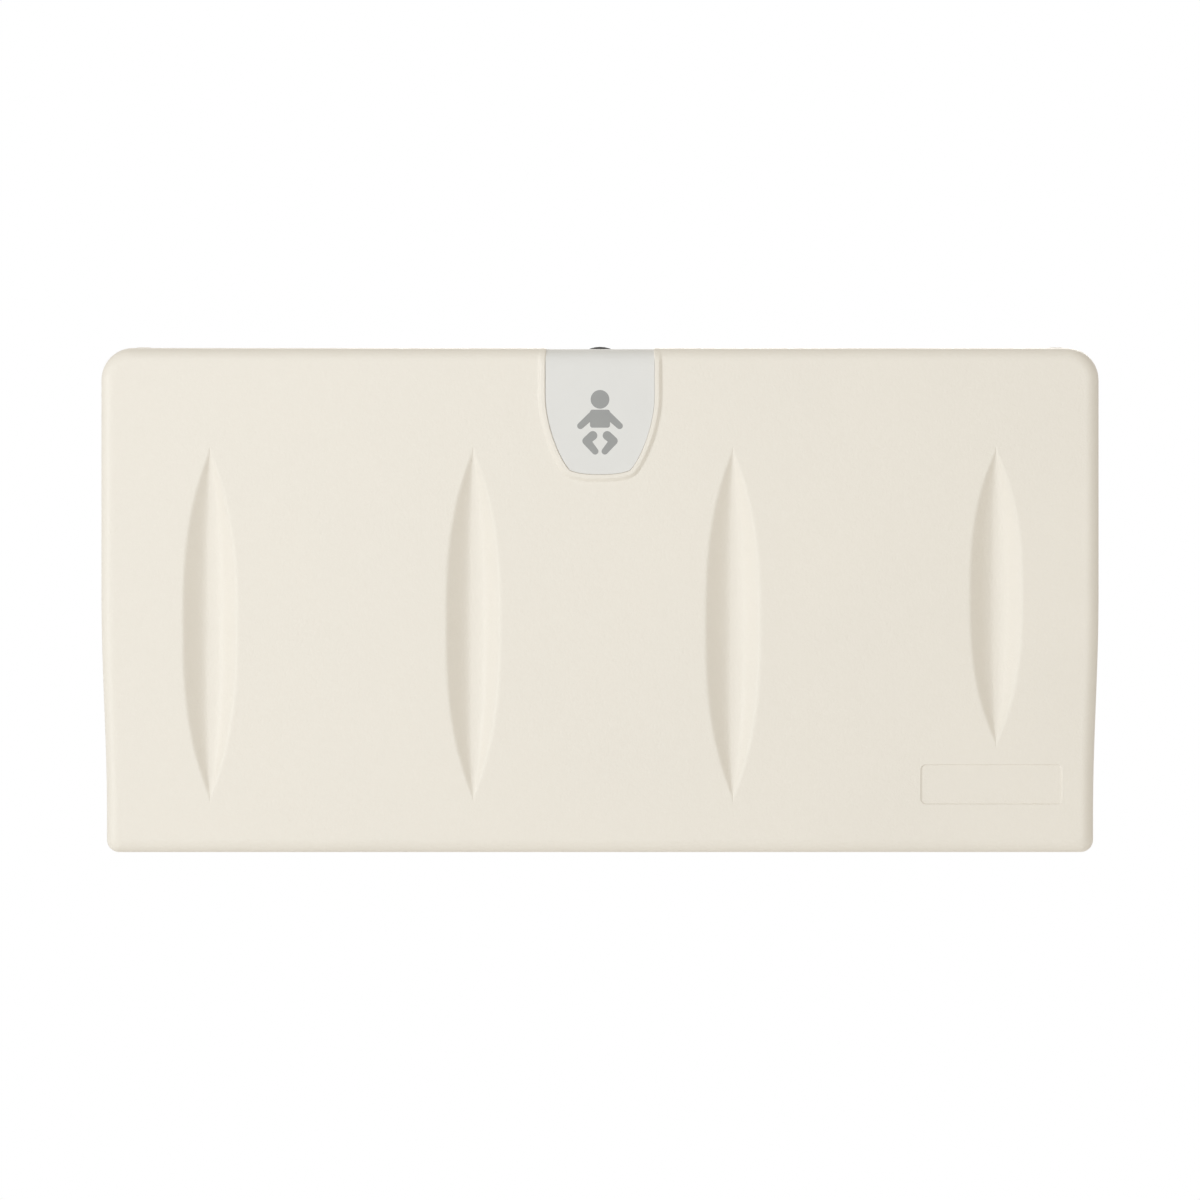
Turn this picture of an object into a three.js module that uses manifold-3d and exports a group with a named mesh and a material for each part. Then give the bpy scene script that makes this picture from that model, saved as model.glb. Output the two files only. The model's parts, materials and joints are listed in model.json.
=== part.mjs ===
// Fold-down baby changing station, closed against its wall. Millimetres, Z up.
// X runs to the right as seen from the room, the room is at -Y and the wall is the plane y = 0.
// z = 0 is half way up the front panel.
import * as THREE from "three";
import { mergeVertices } from "three/addons/utils/BufferGeometryUtils.js";
import Module from "manifold-3d";

const wasm = await Module();
wasm.setup();

// Overall sizes
const PANEL_WIDTH = 889;
const PANEL_HEIGHT = 449.5;
const UNIT_DEPTH = 100;
const HOUSING_DEPTH = 46;
const PARTING_GAP = 2;
const WALL = 4;
const FIT = 0.3;

// Front panel of the bed
const FOOT_NARROWING = 4.9;
const TAPER_END = 37.75;
const TOP_CORNER = 28.5;
const FOOT_CORNER = 11;
const EDGE_ROUND = 12;
const FLUTE_HALF_WIDTH = 23.3;
const SHORT_FLUTE_HALF_WIDTH = 22.2;
const FLUTE_FULLNESS = 2.7;
const FLUTE_AXIS_OUT = 17.4;
const FLUTE_ASIDE = 2.8;
const FLUTE_HEAD_ROOM = 90.75;
const FLUTE_FOOT_ROOM = 47.75;
const SHORT_FLUTE_FOOT_ROOM = 96.25;
const FLUTE_SIDE_ROOM = 95;
const INNER_FLUTE_X = 115.5;
const SIGN_SIDE_ROOM = 96.4;
const SIGN_WIDTH = 126.2;
const SIGN_HEIGHT = 35.8;
const SIGN_LIFT = 60.75;
const SIGN_DEPTH = 1;
const SIGN_CORNER = 4.5;

// Badge in the top edge
const BADGE_HALF = 48.5;
const BADGE_DROP = 113;
const BADGE_STRAIGHT = 43;
const BADGE_FOOT_HALF = 27;
const BADGE_THICK = 1.2;
const BADGE_RIM = 7;
const BADGE_RIM_RISE = 2.5;
const BADGE_WRAP = 6;
const BADGE_TOP_RISE = 0.9;

// Bed tray
const TRAY_SHEET = 3.5;
const PAN_SIDE_MARGIN = 48.5;
const PAN_TOP_MARGIN = 34;
const PAN_FOOT_MARGIN = 58;
const PAN_DEPTH = 30;
const PAN_CORNER = 62;
const PAN_WALL_RUN = 62;

// Hinge
const HINGE_LIFT = 24;
const PIN_RADIUS = 4.5;
const PIN_PLAY = 0.4;
const KNUCKLE_RADIUS = 7.5;
const LEAF_THICK = 2.6;
const HINGE_END = 38;
const KNUCKLE_COUNT = 10;
const KNUCKLE_GAP = 0.6;
const STOP_GAP = 0.5;
const CLIP_RADIUS = 7;
const CLIP_THICK = 2;

// Wall housing
const HOUSING_INSET = 6.5;
const HOUSING_HEAD_ROOM = 8.75;
const HOUSING_RIM = 34;
const HOUSING_EDGE_ROUND = 6;
const RECESS_DRAFT = 4;
const LUG_SIDE = 27;
const LUG_WIDTH = 26;
const LUG_RISE = 2.95;
const LUG_DEPTH = 26;
const BUMPER_CROWN = 27;
const BUMPER_RISE = 3.1;
const BUMPER_HEIGHT = 34;
const BUMPER_THICK = 16;

// Wall fixing, on studs 16 inches apart
const STUD_SPACING = 406.4;
const FIX_DROP = 70;
const FIX_LINER_GAP = 56;
const FIX_HOLE = 4.5;
const STRAP_PLATE_WIDTH = 40;
const STRAP_PLATE_THICK = 3;
const STRAP_PLATE_END = 22;
const CAP_RADIUS = 10;
const CAP_DOME = 4;
const CAP_PLUG = 2;

// Liner boxes
const LINER_SIDE_GAP = 47;
const LINER_SILL_GAP = 11.95;
const LINER_WIDTH = 250;
const LINER_HEIGHT = 107;
const LINER_FRONT = 42;
const LINER_WALL = 2.6;
const LINER_CORNER = 9;
const LINER_SLOT_WIDTH = 136;
const LINER_SLOT_HEIGHT = 34;
const LID_THICK = 3;
const LID_BARREL = 3.2;
const LID_TRUNNION = 2;
const LID_LEDGE = 1.6;

// Bag hooks
const HOOK_SIDE_GAP = 30;
const HOOK_LINER_GAP = 74;
const HOOK_WIDTH = 26;
const HOOK_HEIGHT = 72;
const HOOK_REACH = 38;
const HOOK_THICK = 7;
const HOOK_TIP = 24;

// Gas spring in the hollow right rim, and the crank that works it
const SPRING_SIDE = 18;
const SPRING_TOP_Y = -20;
const SPRING_SPAN = 310.75;
const CRANK_RADIUS = 30;
const CRANK_REST_DEG = -25;
const CRANK_ASIDE = 9;
const CRANK_THICK = 4;
const CRANK_SLOT_INNER = 20.6;
const CRANK_SLOT_HALF = 5.4;
const CRANK_BORDER = 3.6;
const TUBE_RADIUS = 8.5;
const TUBE_LENGTH = 165;
const ROD_RADIUS = 4;
const ROD_HIDDEN = 75;
const EYE_RADIUS = 7;
const EYE_THICK = 8;
const EYE_PIN = 3;

// Safety strap and buckle
const WEB_WIDTH = 38;
const WEB_THICK = 1.8;
const ANCHOR_INSET = 62.75;
const ANCHOR_WIDTH = 66;
const ANCHOR_LENGTH = 20;
const ANCHOR_THICK = 3;
const BUCKLE_WIDTH = 54;
const BUCKLE_THICK = 13;
const SOCKET_TOP = 34;
const SOCKET_FOOT = -14;
const TONGUE_TOP = 56;
const BUCKLE_SHELL = 2.5;
const PRONG_WIDTH = 9;

// Places that follow from the sizes above
const PANEL_TOP = PANEL_HEIGHT / 2;
const PANEL_FOOT = -PANEL_HEIGHT / 2;
const PANEL_FRONT = -UNIT_DEPTH;
const BED_BACK = -(HOUSING_DEPTH + PARTING_GAP);
const OUTER_FLUTE_X = PANEL_WIDTH / 2 - FLUTE_SIDE_ROOM;
const FLUTE_TOP = PANEL_TOP - FLUTE_HEAD_ROOM;
const FLUTE_FOOT = PANEL_FOOT + FLUTE_FOOT_ROOM;
const SHORT_FLUTE_FOOT = PANEL_FOOT + SHORT_FLUTE_FOOT_ROOM;
const SIGN_X = PANEL_WIDTH / 2 - SIGN_SIDE_ROOM;
const SIGN_Z = PANEL_FOOT + SIGN_LIFT;
const HOUSING_WIDTH = PANEL_WIDTH - 2 * HOUSING_INSET;
const HOUSING_TOP = PANEL_TOP - HOUSING_HEAD_ROOM;
const LUG_X = HOUSING_WIDTH / 2 - LUG_SIDE;
const LUG_TOP = PANEL_TOP + LUG_RISE;
const BUMPER_TOP = PANEL_TOP + BUMPER_RISE;
const BUMPER_FOOT = BUMPER_TOP - BUMPER_HEIGHT;
const FIX_HIGH = HOUSING_TOP - FIX_DROP;
const HINGE_LENGTH = HOUSING_WIDTH - 2 * HINGE_END;
const HINGE_Y = -(HOUSING_DEPTH + PARTING_GAP / 2);
const HINGE_Z = PANEL_FOOT + HINGE_LIFT;
const BARREL_ROOM = KNUCKLE_RADIUS + FIT;
const HEEL_BACK = HINGE_Y - BARREL_ROOM;
const HEEL_TOP = HINGE_Z + BARREL_ROOM;
const FOOT_FACE = HINGE_Y + HINGE_LIFT + STOP_GAP;
const SILL_TOP = HEEL_TOP + HOUSING_RIM - WALL;
const RECESS_HALF = HOUSING_WIDTH / 2 - HOUSING_RIM;
const LINER_X = RECESS_HALF - LINER_SIDE_GAP - LINER_WIDTH / 2;
const LINER_FOOT = SILL_TOP + LINER_SILL_GAP;
const LINER_TOP = LINER_FOOT + LINER_HEIGHT;
const FIX_LOW = LINER_TOP + FIX_LINER_GAP;
const HOOK_X = RECESS_HALF - HOOK_SIDE_GAP;
const HOOK_FOOT = LINER_TOP + HOOK_LINER_GAP;
const SPRING_X = HOUSING_WIDTH / 2 - SPRING_SIDE;
const SPRING_TOP_Z = HINGE_Z + SPRING_SPAN;
const CRANK_X = SPRING_X + CRANK_ASIDE;
const PAN_FLOOR = BED_BACK - PAN_DEPTH;
const PAN_HALF = PANEL_WIDTH / 2 - PAN_SIDE_MARGIN;
const PAN_TOP = PANEL_TOP - PAN_TOP_MARGIN;
const PAN_FOOT = PANEL_FOOT + PAN_FOOT_MARGIN;
const ANCHOR_HIGH = PAN_TOP - ANCHOR_INSET;
const ANCHOR_LOW = PAN_FOOT + ANCHOR_INSET;
const SIDES = [["left", -1], ["right", 1]];
const PAST = 2;
const ROUND = 20;

const CREAM = plastic("cream_plastic", 0xe9e3d3, 0.55);
const TRIM = plastic("trim_plastic", 0xdcd6c6, 0.5);
const SILVER = plastic("badge_plastic", 0xdfdfda, 0.4);
const BLACK = plastic("black_plastic", 0x26262a, 0.45);
const RUBBER = plastic("black_rubber", 0x37343a, 0.8);
const WEBBING = plastic("webbing", 0x3c3f45, 0.9);
const STEEL = new THREE.MeshStandardMaterial({
  name: "steel", color: 0xb4b7ba, roughness: 0.35, metalness: 1,
});

function plastic(name, color, roughness) {
  return new THREE.MeshStandardMaterial({ name, color, roughness, metalness: 0 });
}

// Geometry to solid and back

function solidOf(geometry) {
  const bare = new THREE.BufferGeometry();
  bare.setAttribute("position", geometry.getAttribute("position").clone());
  bare.setIndex(geometry.getIndex());
  const merged = mergeVertices(bare, 1e-4);
  const triangles = Array.from(merged.getIndex().array);
  const kept = [];
  for (let i = 0; i < triangles.length; i += 3) {
    const [a, b, c] = triangles.slice(i, i + 3);
    if (a !== b && b !== c && a !== c) kept.push(a, b, c);
  }
  const build = (order) => new wasm.Manifold(new wasm.Mesh({
    numProp: 3,
    vertProperties: Float32Array.from(merged.getAttribute("position").array),
    triVerts: Uint32Array.from(order),
  }));
  const made = build(kept);
  return made.volume() < 0 ? build(kept.reverse()) : made;
}

function union(...solids) {
  return solids.reduce((whole, next) => whole.add(next));
}

function cut(base, ...tools) {
  return tools.reduce((whole, tool) => whole.subtract(tool), base);
}

function meshOf(name, solid, material) {
  const data = solid.getMesh();
  const geometry = new THREE.BufferGeometry();
  geometry.setAttribute("position", new THREE.BufferAttribute(data.vertProperties, data.numProp));
  geometry.setIndex(new THREE.BufferAttribute(data.triVerts, 1));
  geometry.computeVertexNormals();
  const mesh = new THREE.Mesh(geometry, material);
  mesh.name = name;
  return mesh;
}

// Basic forms

function box(x0, x1, y0, y1, z0, z1) {
  const geometry = new THREE.BoxGeometry(x1 - x0, y1 - y0, z1 - z0);
  return solidOf(geometry.translate((x0 + x1) / 2, (y0 + y1) / 2, (z0 + z1) / 2));
}

// An outline in X and Z, pushed along Y
function slab(shape, back, front, curveSegments = 5) {
  const geometry = new THREE.ExtrudeGeometry(shape, {
    depth: back - front, bevelEnabled: false, curveSegments,
  });
  return solidOf(geometry.rotateX(Math.PI / 2).translate(0, back, 0));
}

// An outline in Y and Z, pushed along X
function bar(shape, x0, x1, curveSegments = 5) {
  const geometry = new THREE.ExtrudeGeometry(shape, {
    depth: x1 - x0, bevelEnabled: false, curveSegments,
  });
  const turn = new THREE.Matrix4().makeBasis(
    new THREE.Vector3(0, 1, 0), new THREE.Vector3(0, 0, 1), new THREE.Vector3(1, 0, 0),
  );
  return solidOf(geometry.applyMatrix4(turn).translate(x0, 0, 0));
}

function roundX(radius, x0, x1, y, z, sides = ROUND) {
  const geometry = new THREE.CylinderGeometry(radius, radius, x1 - x0, sides);
  return solidOf(geometry.rotateZ(Math.PI / 2).translate((x0 + x1) / 2, y, z));
}

function roundY(radius, y0, y1, x, z, sides = ROUND) {
  const geometry = new THREE.CylinderGeometry(radius, radius, y1 - y0, sides);
  return solidOf(geometry.translate(x, (y0 + y1) / 2, z));
}

function roundedRect(x0, x1, z0, z1, radius) {
  const shape = new THREE.Shape();
  shape.absarc(x1 - radius, z0 + radius, radius, -Math.PI / 2, 0);
  shape.absarc(x1 - radius, z1 - radius, radius, 0, Math.PI / 2);
  shape.absarc(x0 + radius, z1 - radius, radius, Math.PI / 2, Math.PI);
  shape.absarc(x0 + radius, z0 + radius, radius, Math.PI, Math.PI * 1.5);
  return shape;
}

// Lofts: rings with the same number of points, closed by a fan at both ends

function arcPoints(x, z, radius, from, to, steps) {
  const points = [];
  for (let i = 0; i <= steps; i += 1) {
    const angle = from + (to - from) * i / steps;
    points.push(new THREE.Vector2(x + radius * Math.cos(angle), z + radius * Math.sin(angle)));
  }
  return points;
}

function mirrored(right) {
  const left = right.map((point) => new THREE.Vector2(-point.x, point.y)).reverse();
  return [...right, ...left];
}

function ring(outline, y) {
  return outline.map((point) => new THREE.Vector3(point.x, y, point.y));
}

function loft(rings) {
  const count = rings[0].length;
  const points = rings.flat();
  const faces = [];
  for (let k = 0; k < rings.length - 1; k += 1) {
    for (let i = 0; i < count; i += 1) {
      const a = k * count + i;
      const b = k * count + (i + 1) % count;
      faces.push(a, b, b + count, a, b + count, a + count);
    }
  }
  for (const [start, flip] of [[0, true], [points.length - count, false]]) {
    const middle = points.slice(start, start + count)
      .reduce((sum, point) => sum.add(point), new THREE.Vector3()).divideScalar(count);
    const hub = rings.length * count + (flip ? 0 : 1);
    points[hub] = middle;
    for (let i = 0; i < count; i += 1) {
      const a = start + i;
      const b = start + (i + 1) % count;
      faces.push(...(flip ? [b, a, hub] : [a, b, hub]));
    }
  }
  const geometry = new THREE.BufferGeometry().setFromPoints(points);
  geometry.setIndex(faces);
  return solidOf(geometry);
}

// Depth and inset of each ring of an edge rounded over from the side to the front
function roundOver(back, front, round, inset, steps) {
  const rings = [[back, inset]];
  for (let i = 0; i <= steps; i += 1) {
    const angle = Math.PI / 2 * i / steps;
    rings.push([front + round - round * Math.sin(angle), inset + round * (1 - Math.cos(angle))]);
  }
  return rings;
}

// Bed: one outline and one round-over make the shell, its hollow, the badge and the rim

function panelHalfWidth(z) {
  const share = THREE.MathUtils.smoothstep(-z, 0, -PANEL_FOOT - TAPER_END);
  return PANEL_WIDTH / 2 - FOOT_NARROWING * share;
}

function panelOutline(inset) {
  const foot = Math.max(FOOT_CORNER - inset, 1);
  const top = Math.max(TOP_CORNER - inset, 1);
  const taperSteps = 4;
  const right = arcPoints(
    panelHalfWidth(PANEL_FOOT) - inset - foot, PANEL_FOOT + inset + foot, foot, -Math.PI / 2, 0, 4,
  );
  for (let i = 0; i <= taperSteps; i += 1) {
    const z = THREE.MathUtils.lerp(PANEL_FOOT + TAPER_END, 0, i / taperSteps);
    right.push(new THREE.Vector2(panelHalfWidth(z) - inset, z));
  }
  right.push(...arcPoints(
    PANEL_WIDTH / 2 - inset - top, PANEL_TOP - inset - top, top, 0, Math.PI / 2, 6,
  ));
  return mirrored(right);
}

// The panel's own form, set in from its surface by inset
function panelForm(inset, back) {
  const rounds = roundOver(back, PANEL_FRONT + inset, EDGE_ROUND - inset, inset, 4);
  return loft(rounds.map(([y, set]) => ring(panelOutline(set), y)));
}

// A lens-shaped flute is the side of a spindle that lies in front of the panel
function fluteSpindle(x, foot, halfWidth, grow) {
  const steps = 16;
  const middle = (FLUTE_TOP + foot) / 2;
  const half = (FLUTE_TOP - foot) / 2;
  const profile = [new THREE.Vector2(0, -half - grow)];
  for (let i = 0; i <= steps; i += 1) {
    const along = -1 + 2 * i / steps;
    const width = halfWidth * (1 - Math.abs(along) ** FLUTE_FULLNESS);
    profile.push(new THREE.Vector2(
      Math.hypot(FLUTE_AXIS_OUT, width) + grow, along * (half + grow),
    ));
  }
  profile.push(new THREE.Vector2(0, half + grow));
  const geometry = new THREE.LatheGeometry(profile, 36).rotateX(Math.PI / 2);
  return solidOf(geometry.translate(x + FLUTE_ASIDE, PANEL_FRONT - FLUTE_AXIS_OUT, middle));
}

function flutes(grow) {
  return [
    fluteSpindle(-OUTER_FLUTE_X, FLUTE_FOOT, FLUTE_HALF_WIDTH, grow),
    fluteSpindle(-INNER_FLUTE_X, FLUTE_FOOT, FLUTE_HALF_WIDTH, grow),
    fluteSpindle(INNER_FLUTE_X, FLUTE_FOOT, FLUTE_HALF_WIDTH, grow),
    fluteSpindle(OUTER_FLUTE_X, SHORT_FLUTE_FOOT, SHORT_FLUTE_HALF_WIDTH, grow),
  ];
}

function badgePrism(grow, front, back) {
  const half = BADGE_HALF + grow;
  const footHalf = BADGE_FOOT_HALF + grow;
  const foot = PANEL_TOP - BADGE_DROP - grow;
  const shoulder = PANEL_TOP - BADGE_STRAIGHT;
  const cornerRise = 3;
  const cornerRun = 5;
  const over = PANEL_TOP + BADGE_TOP_RISE;
  const shape = new THREE.Shape();
  shape.moveTo(half, over);
  shape.lineTo(-half, over);
  shape.lineTo(-half, shoulder);
  const pull = (shoulder - foot) / 3;
  const waist = (half + footHalf) / 2;
  shape.bezierCurveTo(-half, shoulder - pull, -waist, foot + pull / 2, -footHalf, foot + cornerRise);
  shape.quadraticCurveTo(-footHalf + cornerRun / 2, foot, -footHalf + cornerRun, foot);
  shape.lineTo(footHalf - cornerRun, foot);
  shape.quadraticCurveTo(footHalf - cornerRun / 2, foot, footHalf, foot + cornerRise);
  shape.bezierCurveTo(waist, foot + pull / 2, half, shoulder - pull, half, shoulder);
  return slab(shape, back, front);
}

const BADGE_BACK = PANEL_FRONT + EDGE_ROUND + BADGE_WRAP;
const BADGE_AHEAD = PANEL_FRONT - 2 * BADGE_RIM_RISE;

function makeBedShell() {
  const heelStep = box(
    -PANEL_WIDTH, PANEL_WIDTH, HEEL_BACK, BED_BACK + PAST, PANEL_FOOT - PAST, HEEL_TOP,
  );
  const rimBand = cut(
    badgePrism(BADGE_RIM, BADGE_AHEAD, BADGE_BACK),
    badgePrism(0, BADGE_AHEAD - PAST, BADGE_BACK + PAST),
  );
  const rim = panelForm(-BADGE_RIM_RISE, BED_BACK).intersect(rimBand);
  const sign = slab(
    roundedRect(
      SIGN_X - SIGN_WIDTH / 2, SIGN_X + SIGN_WIDTH / 2,
      SIGN_Z - SIGN_HEIGHT / 2, SIGN_Z + SIGN_HEIGHT / 2, SIGN_CORNER,
    ),
    PANEL_FRONT + SIGN_DEPTH, PANEL_FRONT - PAST, 3,
  );
  const heelWall = box(
    -PANEL_WIDTH, PANEL_WIDTH, HEEL_BACK - WALL, BED_BACK + 2 * PAST,
    PANEL_FOOT - PAST, HEEL_TOP + WALL,
  );
  const hollow = cut(panelForm(WALL, BED_BACK + PAST), ...flutes(WALL), heelWall);
  const outside = union(panelForm(0, BED_BACK), rim);
  return cut(outside, ...flutes(0), sign, hollow, heelStep);
}

function makeBadgePlate() {
  const skin = cut(panelForm(-BADGE_THICK, BED_BACK), panelForm(-FIT, BED_BACK + PAST));
  return skin.intersect(badgePrism(-FIT, BADGE_AHEAD, BADGE_BACK));
}

// Pan of the bed: a rounded opening that falls to a flat floor along one smooth curve
function panOutline(inset) {
  const corner = Math.max(PAN_CORNER - inset * 0.6, 1);
  const half = PAN_HALF - inset;
  const steps = 6;
  return mirrored([
    ...arcPoints(half - corner, PAN_FOOT + inset + corner, corner, -Math.PI / 2, 0, steps),
    ...arcPoints(half - corner, PAN_TOP - inset - corner, corner, 0, Math.PI / 2, steps),
  ]);
}

function panForm(grow, mouth) {
  const fall = new THREE.CubicBezierCurve(
    new THREE.Vector2(0, 0), new THREE.Vector2(PAN_WALL_RUN * 0.16, PAN_DEPTH * 0.72),
    new THREE.Vector2(PAN_WALL_RUN * 0.4, PAN_DEPTH), new THREE.Vector2(PAN_WALL_RUN, PAN_DEPTH),
  );
  const rings = [ring(panOutline(-grow), mouth)];
  for (const point of fall.getPoints(8)) {
    rings.push(ring(panOutline(point.x - grow), BED_BACK - point.y - grow));
  }
  return loft(rings);
}

function makeBedTray() {
  const edge = WALL + FIT;
  const sheet = loft([ring(panelOutline(edge), BED_BACK), ring(panelOutline(edge), BED_BACK - TRAY_SHEET)]);
  const heelShelf = box(
    -PANEL_WIDTH, PANEL_WIDTH, PANEL_FRONT, 0, PANEL_FOOT - PAST, HEEL_TOP + WALL + FIT,
  );
  const pan = panForm(TRAY_SHEET, BED_BACK - TRAY_SHEET / 2);
  return cut(union(sheet, pan), panForm(0, BED_BACK + PAST), heelShelf);
}

// Hinge: two leaves with alternate knuckles on one pin

function knuckles(first) {
  const pitch = HINGE_LENGTH / KNUCKLE_COUNT;
  const spans = [];
  for (let i = first; i < KNUCKLE_COUNT; i += 2) {
    const start = -HINGE_LENGTH / 2 + i * pitch;
    spans.push([start + KNUCKLE_GAP / 2, start + pitch - KNUCKLE_GAP / 2]);
  }
  return spans;
}

function barrel(x0, x1) {
  return roundX(KNUCKLE_RADIUS, x0, x1, HINGE_Y, HINGE_Z, 16);
}

function pinBore() {
  return roundX(PIN_RADIUS + PIN_PLAY, -HINGE_LENGTH, HINGE_LENGTH, HINGE_Y, HINGE_Z, 16);
}

function makeWallLeaf() {
  const top = HINGE_Z + KNUCKLE_RADIUS;
  const clear = HINGE_Y + BARREL_ROOM;
  const half = HINGE_LENGTH / 2;
  const plate = box(-half, half, clear, FOOT_FACE - PARTING_GAP, top - LEAF_THICK, top);
  const curls = knuckles(0).map(([x0, x1]) => union(
    barrel(x0, x1), box(x0, x1, HINGE_Y, clear + PAST, top - LEAF_THICK, top),
  ));
  return cut(union(plate, ...curls), pinBore());
}

function makeBedLeaf() {
  const front = HINGE_Y - KNUCKLE_RADIUS;
  const clear = HINGE_Z - BARREL_ROOM;
  const half = HINGE_LENGTH / 2;
  const foot = PANEL_FOOT + PARTING_GAP;
  const plate = box(-half, half, front, front + LEAF_THICK, foot, clear);
  const curls = knuckles(1).map(([x0, x1]) => union(
    barrel(x0, x1), box(x0, x1, front, front + LEAF_THICK, clear - PAST, HINGE_Z),
  ));
  return cut(union(plate, ...curls), pinBore());
}

const PIN_END = HINGE_LENGTH / 2 + 2 * CLIP_THICK;

function makeHingePin() {
  return roundX(PIN_RADIUS, -PIN_END, PIN_END, HINGE_Y, HINGE_Z, 16);
}

function makePinClip(side) {
  const inner = side * (HINGE_LENGTH / 2 + KNUCKLE_GAP);
  const outer = inner + side * CLIP_THICK;
  const [x0, x1] = [Math.min(inner, outer), Math.max(inner, outer)];
  const hole = roundX(PIN_RADIUS + FIT, x0 - PAST, x1 + PAST, HINGE_Y, HINGE_Z, 16);
  return cut(roundX(CLIP_RADIUS, x0, x1, HINGE_Y, HINGE_Z, 16), hole);
}

// Wall housing: a moulded tray with a rim that is hollow from behind

function housingOutline(inset) {
  const half = HOUSING_WIDTH / 2 - inset;
  const foot = Math.max(FOOT_CORNER - inset, 1);
  const top = Math.max(TOP_CORNER - inset, 1);
  return mirrored([
    ...arcPoints(half - foot, PANEL_FOOT + inset + foot, foot, -Math.PI / 2, 0, 3),
    ...arcPoints(half - top, HOUSING_TOP - inset - top, top, 0, Math.PI / 2, 5),
  ]);
}

function recessOutline(inset) {
  const half = RECESS_HALF - inset;
  const corner = Math.max(TOP_CORNER - inset / 2, 1);
  const top = HOUSING_TOP - HOUSING_RIM - inset;
  const foot = SILL_TOP + inset;
  return mirrored([
    ...arcPoints(half - corner, foot + corner, corner, -Math.PI / 2, 0, 4),
    ...arcPoints(half - corner, top - corner, corner, 0, Math.PI / 2, 4),
  ]);
}

function bumperDisc(grow, back, front) {
  const middle = BUMPER_TOP - BUMPER_CROWN;
  const disc = roundY(BUMPER_CROWN + grow, front, back, 0, middle, 40);
  const reach = BUMPER_CROWN + 2 * PAST;
  const above = box(-reach, reach, front - PAST, back + PAST, BUMPER_FOOT - grow, BUMPER_TOP + reach);
  return disc.intersect(above);
}

const BUMPER_BACK = -HOUSING_DEPTH + BUMPER_THICK;

function makeTopBumper() {
  return bumperDisc(0, BUMPER_BACK, BED_BACK + FIT);
}

function fixingPoints() {
  const points = [];
  for (const [, side] of SIDES) {
    for (const z of [FIX_HIGH, FIX_LOW]) points.push([side * STUD_SPACING / 2, z]);
  }
  return points;
}

function makeHousing() {
  const front = -HOUSING_DEPTH;
  const rounds = roundOver(0, front, HOUSING_EDGE_ROUND, 0, 3);
  const outside = loft(rounds.map(([y, set]) => ring(housingOutline(set), y)));
  const hingeStep = box(
    -PANEL_WIDTH, PANEL_WIDTH, front - PAST, FOOT_FACE, PANEL_FOOT - PAST, HEEL_TOP,
  );
  const recess = loft([
    ring(recessOutline(0), front - PAST), ring(recessOutline(0), front),
    ring(recessOutline(RECESS_DRAFT), -2 * WALL), ring(recessOutline(2 * RECESS_DRAFT), -WALL),
  ]);
  const backing = loft([
    ring(recessOutline(RECESS_DRAFT - WALL), PAST), ring(recessOutline(RECESS_DRAFT - WALL), -2 * WALL),
    ring(recessOutline(-WALL), front - PAST),
  ]);
  const stepWall = box(
    -PANEL_WIDTH, PANEL_WIDTH, front - PAST, FOOT_FACE + WALL, PANEL_FOOT - PAST, HEEL_TOP + WALL,
  );
  const rimDepth = front + WALL;
  const hollow = cut(
    loft([ring(housingOutline(WALL), PAST), ring(housingOutline(WALL), rimDepth)]), backing, stepWall,
  );
  const lugs = SIDES.map(([, side]) => slab(
    roundedRect(
      side * LUG_X - LUG_WIDTH / 2, side * LUG_X + LUG_WIDTH / 2,
      HOUSING_TOP - LUG_DEPTH, LUG_TOP, LUG_WIDTH / 3,
    ),
    -WALL, rimDepth + WALL, 4,
  ));
  const seatHalf = BUMPER_CROWN + WALL;
  const seat = box(
    -seatHalf, seatHalf, rimDepth, BUMPER_BACK + WALL, HOUSING_TOP - HOUSING_RIM, HOUSING_TOP - FIT,
  );
  const bumperSeat = bumperDisc(FIT, BUMPER_BACK + FIT, front - PAST);
  const holes = fixingPoints().map(([x, z]) => roundY(FIX_HOLE, -2 * WALL, PAST, x, z, 16));
  const body = cut(outside, hingeStep, recess, hollow);
  return cut(union(body, ...lugs, seat), bumperSeat, ...holes, crankSlot(), rodSlot());
}

// Openings in the rim for the crank's swing and for the rod of the gas spring
function crankSlot() {
  const half = CRANK_THICK / 2 + PARTING_GAP;
  const tipRadius = CRANK_SLOT_HALF + CRANK_BORDER;
  const reach = CRANK_RADIUS + tipRadius + PAST;
  const drop = CRANK_TIP * Math.sin(CRANK_REST) - tipRadius - 2 * FIT;
  return box(
    CRANK_X - half, CRANK_X + half, -HOUSING_DEPTH - PAST, -HOUSING_DEPTH + reach,
    HINGE_Z + drop, HINGE_Z + reach,
  );
}

function rodSlot() {
  const half = EYE_RADIUS + PAST;
  const reach = CRANK_RADIUS + EYE_RADIUS + PAST;
  return box(
    SPRING_X - half, CRANK_X + CRANK_THICK / 2 + PARTING_GAP, -HOUSING_DEPTH + WALL, -PARTING_GAP * 2,
    PANEL_FOOT + WALL, HINGE_Z + reach,
  );
}

function makeStrapPlate(side) {
  const x = side * STUD_SPACING / 2;
  const half = STRAP_PLATE_WIDTH / 2;
  const plate = slab(
    roundedRect(x - half, x + half, FIX_LOW - STRAP_PLATE_END, FIX_HIGH + STRAP_PLATE_END, half / 2),
    -WALL - FIT, -WALL - FIT - STRAP_PLATE_THICK,
  );
  const holes = [FIX_HIGH, FIX_LOW].map((z) => roundY(FIX_HOLE, -4 * WALL, PAST, x, z, 16));
  return cut(plate, ...holes);
}

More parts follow.
